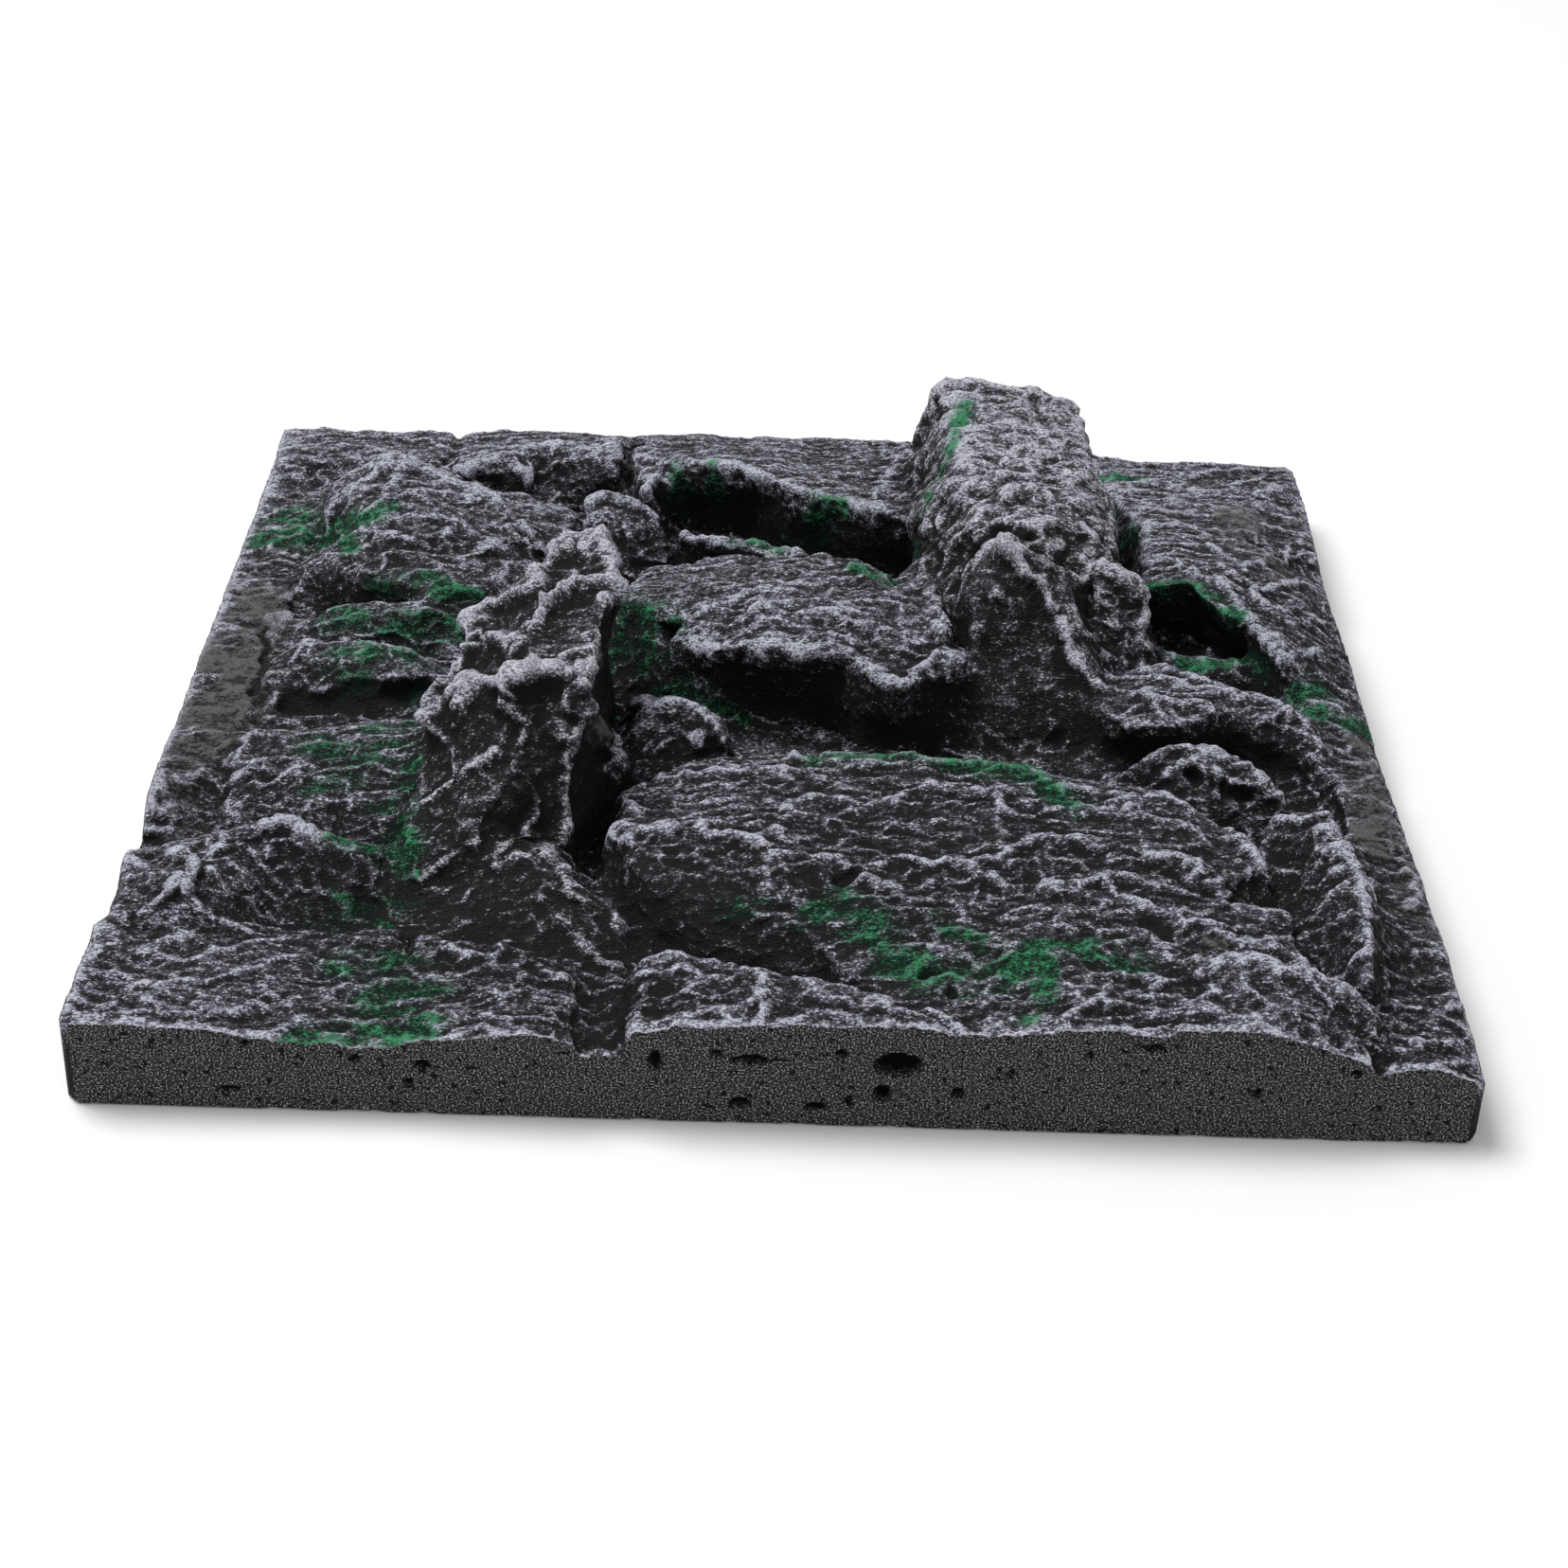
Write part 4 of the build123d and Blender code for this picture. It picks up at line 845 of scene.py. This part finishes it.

# ---------------------------------------------------------------- paint and painted shade, from the sculpted shape


def surroundings(places, radius, cell=2):
    """Height of the relief around each place, averaged over a radius in mm."""
    count = int(2 * E / cell) + 1
    column, row = np.clip(((places[:, :2].T + E) / cell).astype(int), 0, count - 1)
    top = np.zeros((count, count))
    np.maximum.at(top, (column, row), places[:, 2])
    reach = np.arange(-radius, radius + 1, cell)
    kernel = np.exp(-((2.0 * reach / radius) ** 2))
    weight = np.ones_like(top)
    for axis in (0, 1):
        top, weight = (np.apply_along_axis(np.convolve, axis, grid, kernel, "same")
                       for grid in (top, weight))
    return (top / weight)[column, row]


normal = skin.normals()
at = skin.at
up = np.clip(normal[:, 2], 0, 1)
near_mean = skin.blur(at, 4)
wide_mean = skin.blur(near_mean, 28)
detail = np.einsum("ij,ij->i", at - near_mean, normal)
shape = np.einsum("ij,ij->i", at - wide_mean, normal)
patchy = 0.6 * noise(at, 34, 2.9) + 0.4 * noise(at, 12, 7.7)
# Tones of the paint, partly painted shade in troughs
tone_and_shade = 0 * patchy
for amount, radius, px, py in TONES_AND_SHADE:
    tone_and_shade += amount * np.exp(-((x - px) ** 2 + (y - py) ** 2) / radius**2)
# How far each place lies below its surroundings; further down this drives painted shade in hollows
sunk = np.clip(surroundings(at, 10) - z, -4, 7)
# Painted light: towards_back makes the paint and the ground lighter towards the back, as haze over the far
# part would
towards_back = step(y, -60, 120)

# How much of the dry brush each place caught: crests and flat tops most, deep places least; the shape and
# sunk terms also paint shade into hollows and creases
brush = 0.23 + 0.22 * np.clip(detail / 0.19, -0.9, 1.2) + 0.14 * np.tanh(shape / 0.5) + 0.45 * (up - 0.8)
brush += step(up, 0.1, 0.6) * (0.33 * (waves**6 - 0.08) + 0.26 * (ripples**4 - 0.12))
brush += 0.14 * patchy - 0.07 * fin - 0.11 * thumb + 0.07 * ledge - 0.027 * sunk
brush += 0.95 * paint + 0.8 * tone_and_shade + 0.11 * towards_back
brush += 0.25 * np.exp(-((rim / 1.5) ** 2)) * step(z, 12, 16)

# Painted shade: open_sky is high on open upward tops and low in creases, hollows and sunk places; the
# ground painted from it is lighter on the tops and near black in the hollows, with a light dust on top
open_sky = np.clip(0.5 + 0.5 * np.tanh(shape / 0.7), 0, 1) * step(up, 0.2, 0.95) * step(sunk, 6, 0)
dust = 0.15 + 0.85 * open_sky * (0.35 + 0.65 * towards_back) * np.clip(1 + patchy, 0.4, 1.6)

moss = np.zeros(len(at), np.float32)
for _, strength, width, points in MOSS:
    near, gap = near_line(points, 1.1 * width, 2.4)
    moss[near] = np.maximum(moss[near], strength * np.exp(-gap**2))
streaks = noise(stretched(wavering, 0.45, 1.5, 1.2), 5, 3.7)
moss *= np.clip(0.72 + 0.75 * streaks + 0.4 * noise(at, 2.4, 5.1), 0, 1.4)
bare = smooth.copy()
for width, points in BARE.values():
    near, gap = near_line(points, width)
    bare[near] = np.maximum(bare[near], 1.2 * np.exp(-gap**4))
sawn = (on_x | on_y | on_back).astype(np.float32)

CHANNELS = {"brush": np.clip(brush, -0.4, 1.1), "moss": moss, "bare": bare, "sawn": sawn, "void": void,
            "dust": dust}
for name, values in CHANNELS.items():
    skin.write(name, values)
skin.write("seen", np.ones(len(at)))

# ---------------------------------------------------------------- materials

CHARCOAL = (0.006, 0.006, 0.0065)
LEDGE_CHARCOAL = (0.009, 0.0085, 0.008)
LAVENDER = (0.66, 0.67, 0.78)
LEDGE_LAVENDER = (0.70, 0.70, 0.78)
# Ground colour on open tops: a light dust with painted sky light, while the hollows keep the painted shade
# of the charcoal
DUST_AND_SKY_LIGHT = (0.033, 0.0325, 0.035)
THIN_FILM, THICK_FILM = (0.104, 0.106, 0.127), (0.25, 0.255, 0.31)
BARE_DARK, BARE_LIGHT = (0.035, 0.034, 0.033), (0.135, 0.130, 0.124)
MOSS_DARK, MOSS_LIGHT = (0.003, 0.018, 0.010), (0.058, 0.32, 0.145)
FOAM_DARK, FOAM_GREY, FOAM_BRIGHT = (0.009, 0.009, 0.0095), (0.070, 0.071, 0.074), (0.52, 0.52, 0.53)
# The second of these is painted shade, the near black inside the foam's voids
CELL_BLACK, VOID_SHADE = (0.005, 0.005, 0.005), (0.003, 0.003, 0.003)
SHEEN = 0.12  # specular level: the paint is matt


class Nodes:
    """Small helper that adds and links shader nodes."""

    def __init__(self, name):
        self.material = bpy.data.materials.new(name)
        self.material.use_nodes = True
        self.tree = self.material.node_tree
        self.shader = self.tree.nodes["Principled BSDF"]

    def fill(self, socket, value):
        """Link a socket to another one, or set its value."""
        if isinstance(value, bpy.types.NodeSocket):
            self.tree.links.new(value, socket)
        else:
            socket.default_value = value

    def add(self, kind, inputs=None, **settings):
        """A node of a kind, with its settings and inputs."""
        node = self.tree.nodes.new(kind)
        for key, value in settings.items():
            setattr(node, key, value)
        for key, value in (inputs or {}).items():
            self.fill(node.inputs[key], value)
        return node

    def attribute(self, name):
        """One of the values that the skin carries."""
        return self.add("ShaderNodeAttribute", attribute_name=name).outputs["Fac"]

    def position(self):
        """Place on the object, in metres."""
        return self.add("ShaderNodeTexCoord").outputs["Object"]

    def grain(self, size, detail, roughness, places=None):
        """Noise in cells of a size in millimetres."""
        inputs = {"Vector": places or self.position(), "Scale": 1 / (size * MM), "Detail": detail,
                  "Roughness": roughness}
        return self.add("ShaderNodeTexNoise", inputs).outputs["Fac"]

    def math(self, operation, *values):
        """A sum or another operation on up to three values."""
        node = self.add("ShaderNodeMath", operation=operation)
        for socket, value in zip(node.inputs, values):
            self.fill(socket, value)
        return node.outputs[0]

    def ramp(self, value, low, high):
        """Smooth step of a value."""
        inputs = {"Value": value, "From Min": low, "From Max": high}
        return self.add("ShaderNodeMapRange", inputs, interpolation_type="SMOOTHSTEP").outputs["Result"]

    def mix(self, share, first, second):
        """Blend of two colours."""
        node = self.add("ShaderNodeMix", data_type="RGBA")
        self.fill(node.inputs[0], share)
        for socket, colour in ((node.inputs[6], first), (node.inputs[7], second)):
            self.fill(socket, (*colour, 1) if isinstance(colour, tuple) else colour)
        return node.outputs[2]

    def link(self, value, socket):
        """Link a value to an input of the shader."""
        self.tree.links.new(value, self.shader.inputs[socket])


def painted_rock(n, fine, crest, ground, paint):
    """Colour of the moulded skin: dark ground, grey film, dry-brushed crests, bare patches and moss, all
    with painted shade in hollows.
    """
    film = n.math("MULTIPLY_ADD", fine, 1.5, n.attribute("brush"))
    film = n.math("MULTIPLY_ADD", n.math("SUBTRACT", crest, 0.3), 0.24, film)
    grit = n.math("MULTIPLY_ADD", fine, 3.0, film)
    # Painted shade: the ground turns to the dust colour where the sky is open and stays near black in
    # hollows
    colour = n.mix(n.attribute("dust"), ground, DUST_AND_SKY_LIGHT)
    film_colour = n.mix(n.ramp(film, 0.5, 1.15), THIN_FILM, THICK_FILM)
    colour = n.mix(n.ramp(film, 0.05, 0.90), colour, film_colour)
    colour = n.mix(n.ramp(grit, 0.66, 1.36), colour, paint)
    bare = n.math("MULTIPLY_ADD", fine, 2.0, n.attribute("bare"))
    bare_colour = n.mix(n.ramp(film, 0.05, 0.5), BARE_DARK, BARE_LIGHT)
    colour = n.mix(n.ramp(bare, 0.25, 0.85), colour, bare_colour)
    mossy = n.math("MULTIPLY", n.attribute("moss"), n.math("MULTIPLY_ADD", fine, 4.0, 1.0))
    moss_colour = n.mix(n.ramp(grit, 0.1, 1.4), MOSS_DARK, MOSS_LIGHT)
    return n.mix(n.ramp(mossy, 0.12, 0.80), colour, moss_colour)


def raw_foam(n):
    """Colour of the cut foam: dark cells, grey walls, bright flecks, and voids painted black as shade."""
    speck = n.grain(0.40, 2, 0.6)
    cell = n.grain(1.6, 2, 0.5)
    foam = n.mix(n.ramp(speck, 0.43, 0.57), FOAM_DARK, FOAM_GREY)
    foam = n.mix(n.ramp(speck, 0.55, 0.645), foam, FOAM_BRIGHT)
    foam = n.mix(n.ramp(cell, 0.40, 0.33), foam, CELL_BLACK)
    return n.mix(n.attribute("void"), foam, VOID_SHADE)


def rock_material(name, ground, paint):
    """Dark skin with dry-brushed crests and moss, and open foam where it is sawn."""
    n = Nodes(name)
    lie = n.add("ShaderNodeMapping", {"Vector": n.position(), "Scale": (0.6, 1.0, 1.0)}).outputs[0]
    fine = n.math("SUBTRACT", n.grain(0.52, 2, 0.7, lie), 0.5)
    blot = n.math("SUBTRACT", n.grain(2.6, 2, 0.6, lie), 0.5)
    crest = n.math("MAXIMUM", n.math("MULTIPLY_ADD", n.math("ABSOLUTE", blot), -9.0, 1.0), 0.0)
    skin_colour = painted_rock(n, fine, crest, ground, paint)
    n.link(n.mix(n.ramp(n.attribute("sawn"), 0.4, 0.7), skin_colour, raw_foam(n)), "Base Color")
    relief = n.math("MULTIPLY_ADD", crest, 0.35, n.math("MULTIPLY", fine, 2.0))
    bump = n.add("ShaderNodeBump", {"Height": relief, "Distance": 0.7 * MM, "Strength": 1.0})
    n.link(bump.outputs["Normal"], "Normal")
    n.link(n.math("MULTIPLY_ADD", fine, 0.5, 0.75), "Roughness")
    n.shader.inputs["Specular IOR Level"].default_value = SHEEN
    return n.material


def floor_material():
    """Plain pale floor without any shine."""
    n = Nodes("pale_floor")
    n.shader.inputs["Base Color"].default_value = (0.9, 0.9, 0.9, 1)
    n.shader.inputs["Roughness"].default_value = 0.9
    n.shader.inputs["Specular IOR Level"].default_value = 0.0
    return n.material


materials = {
    "rock_skin": rock_material("rock_skin", CHARCOAL, LAVENDER),
    "ledge_skin": rock_material("ledge_skin", LEDGE_CHARCOAL, LEDGE_LAVENDER),
    "cut_foam": rock_material("cut_foam", CHARCOAL, LAVENDER),
}

# ---------------------------------------------------------------- separate pieces

relief = bpy.data.objects.new("relief", skin.mesh)
bpy.context.scene.collection.objects.link(relief)
slots = {entry["node"]: entry["material_slot"] for entry in frame["record"]["subparts"]}


def prism(plot, low, high):
    """Upright closed block over a plot."""
    bm = bmesh.new()
    bottom = [bm.verts.new((px * MM, py * MM, low * MM)) for px, py in plot]
    top = [bm.verts.new((px * MM, py * MM, high * MM)) for px, py in plot]
    bm.faces.new(bottom[::-1])
    bm.faces.new(top)
    for k in range(len(plot)):
        after = (k + 1) % len(plot)
        bm.faces.new((bottom[k], bottom[after], top[after], top[k]))
    mesh = bpy.data.meshes.new("prism")
    bm.to_mesh(mesh)
    bm.free()
    cutter = bpy.data.objects.new("prism", mesh)
    bpy.context.scene.collection.objects.link(cutter)
    return cutter


def flatten_underside(mesh):
    """One flat face in place of the fine grid under the panel."""
    bm = bmesh.new()
    bm.from_mesh(mesh)
    under = [face for face in bm.faces if all(vert.co.z < 0.01 * MM for vert in face.verts)]
    bmesh.ops.delete(bm, geom=under, context="FACES")
    bmesh.ops.edgeloop_fill(bm, edges=[edge for edge in bm.edges if edge.is_boundary])
    bm.to_mesh(mesh)
    bm.free()


def mend(mesh):
    """Give the points on a fresh cut the paint of the nearest skin, and keep its edges crisp."""
    places = np.empty(3 * len(mesh.vertices), np.float32)
    mesh.vertices.foreach_get("co", places)
    places = places.reshape(-1, 3)
    seen = np.empty(len(places), np.float32)
    mesh.attributes["seen"].data.foreach_get("value", seen)
    known, fresh = np.flatnonzero(seen > 0.5), np.flatnonzero(seen <= 0.5)
    tree = KDTree(len(known))
    for index in known:
        tree.insert(places[index], index)
    tree.balance()
    source = [tree.find(places[index])[1] for index in fresh]
    for name in CHANNELS:
        values = np.empty(len(places), np.float32)
        mesh.attributes[name].data.foreach_get("value", values)
        values[fresh] = values[source]
        mesh.attributes[name].data.foreach_set("value", values)
    mesh.attributes.remove(mesh.attributes["seen"])
    mesh.set_sharp_from_angle(angle=math.radians(75))


def carve(name, plot, low, high):
    """The part of the relief over a plot, between two heights, as a piece of its own."""
    cutter = prism(plot, low, high)
    boolean = relief.modifiers.new("plot", "BOOLEAN")
    boolean.operation = "INTERSECT"
    boolean.solver = "MANIFOLD"
    boolean.object = cutter
    shown = relief.evaluated_get(bpy.context.evaluated_depsgraph_get())
    mesh = bpy.data.meshes.new_from_object(shown)
    relief.modifiers.clear()
    bpy.data.objects.remove(cutter)
    mesh.polygons.foreach_set("use_smooth", [True] * len(mesh.polygons))
    mend(mesh)
    piece = bpy.data.objects.new(name, mesh)
    bpy.context.scene.collection.objects.link(piece)
    return piece


def dress(piece, *nodes):
    """Material from the first node's slot and the body of a finished piece, with the nodes' own parts
    hidden.
    """
    slot = slots[nodes[0]]
    piece.data.materials.clear()
    piece.data.materials.append(materials[slot])
    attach(piece, "root")
    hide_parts(*nodes)


flatten_underside(skin.mesh)
square = [(-E, -E), (E, -E), (E, E), (-E, E)]
for name, plot in {"backing_panel": square, **PLOTS}.items():
    low, high = (-1.0, BACKING) if name == "backing_panel" else (BACKING, SKY)
    dress(carve("foam_" + name, plot, low, high), name)
bpy.data.objects.remove(relief)

# ---------------------------------------------------------------- stage, light and camera

FLOOR = 6.0  # metres from the middle of the floor to its edges
FLOOR_TOP = -0.4 * MM
AIM = (0, 0, 0.02)  # where the lamps point, in metres: the middle of the panel
EYE = Vector((-2.188, -634.607, 379.634)) * MM
YAW, PITCH, ROLL = (math.radians(degrees) for degrees in (-0.275, 31.344, 1.877))
LENS, SENSOR = 66.04, 36.0


def pale_floor():
    """Wide plain floor just under the panel."""
    corners = [(-FLOOR, -FLOOR), (FLOOR, -FLOOR), (FLOOR, FLOOR), (-FLOOR, FLOOR)]
    mesh = bpy.data.meshes.new("floor")
    mesh.from_pydata([(*corner, FLOOR_TOP) for corner in corners], [], [(0, 1, 2, 3)])
    mesh.materials.append(floor_material())
    floor = bpy.data.objects.new("floor", mesh)
    bpy.context.scene.collection.objects.link(floor)
    return floor


def area_light(name, place, size, power):
    """Soft square lamp that points at the panel."""
    lamp = bpy.data.lights.new(name, "AREA")
    lamp.shape = "SQUARE"
    lamp.size = size
    lamp.energy = power
    holder = bpy.data.objects.new(name, lamp)
    bpy.context.scene.collection.objects.link(holder)
    holder.location = place
    holder.rotation_euler = (Vector(AIM) - Vector(place)).to_track_quat("-Z", "Y").to_euler()


def studio_world():
    """Even white light from all round."""
    world = bpy.data.worlds.new("studio")
    world.use_nodes = True
    background = world.node_tree.nodes["Background"]
    background.inputs["Color"].default_value = (1, 1, 1, 1)
    background.inputs["Strength"].default_value = 0.45
    return world


def photo_camera():
    """The photograph's viewpoint, fitted to the panel's corners."""
    forward = Vector((-math.sin(YAW) * math.cos(PITCH), math.cos(YAW) * math.cos(PITCH), -math.sin(PITCH)))
    level = Vector((math.cos(YAW), math.sin(YAW), 0))
    upright = level.cross(forward)
    right = math.cos(ROLL) * level + math.sin(ROLL) * upright
    top = math.cos(ROLL) * upright - math.sin(ROLL) * level
    turn = Matrix((right, top, -forward)).transposed().to_4x4()
    camera = bpy.data.objects.new("camera", bpy.data.cameras.new("camera"))
    camera.data.lens = LENS
    camera.data.sensor_width = SENSOR
    camera.data.clip_start = 0.01
    camera.matrix_world = Matrix.Translation(EYE) @ turn
    bpy.context.scene.collection.objects.link(camera)
    return camera


pale_floor()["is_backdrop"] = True
area_light("key", (-1.1, 0.5, 2.5), 1.4, 66)
area_light("front", (0.4, -2.6, 1.8), 1.8, 8)
bpy.context.scene.world = studio_world()
bpy.context.scene.view_settings.view_transform = "Standard"
bpy.context.scene.camera = photo_camera()

# ---------------------------------------------------------------- bounds of the finished scene

low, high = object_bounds()
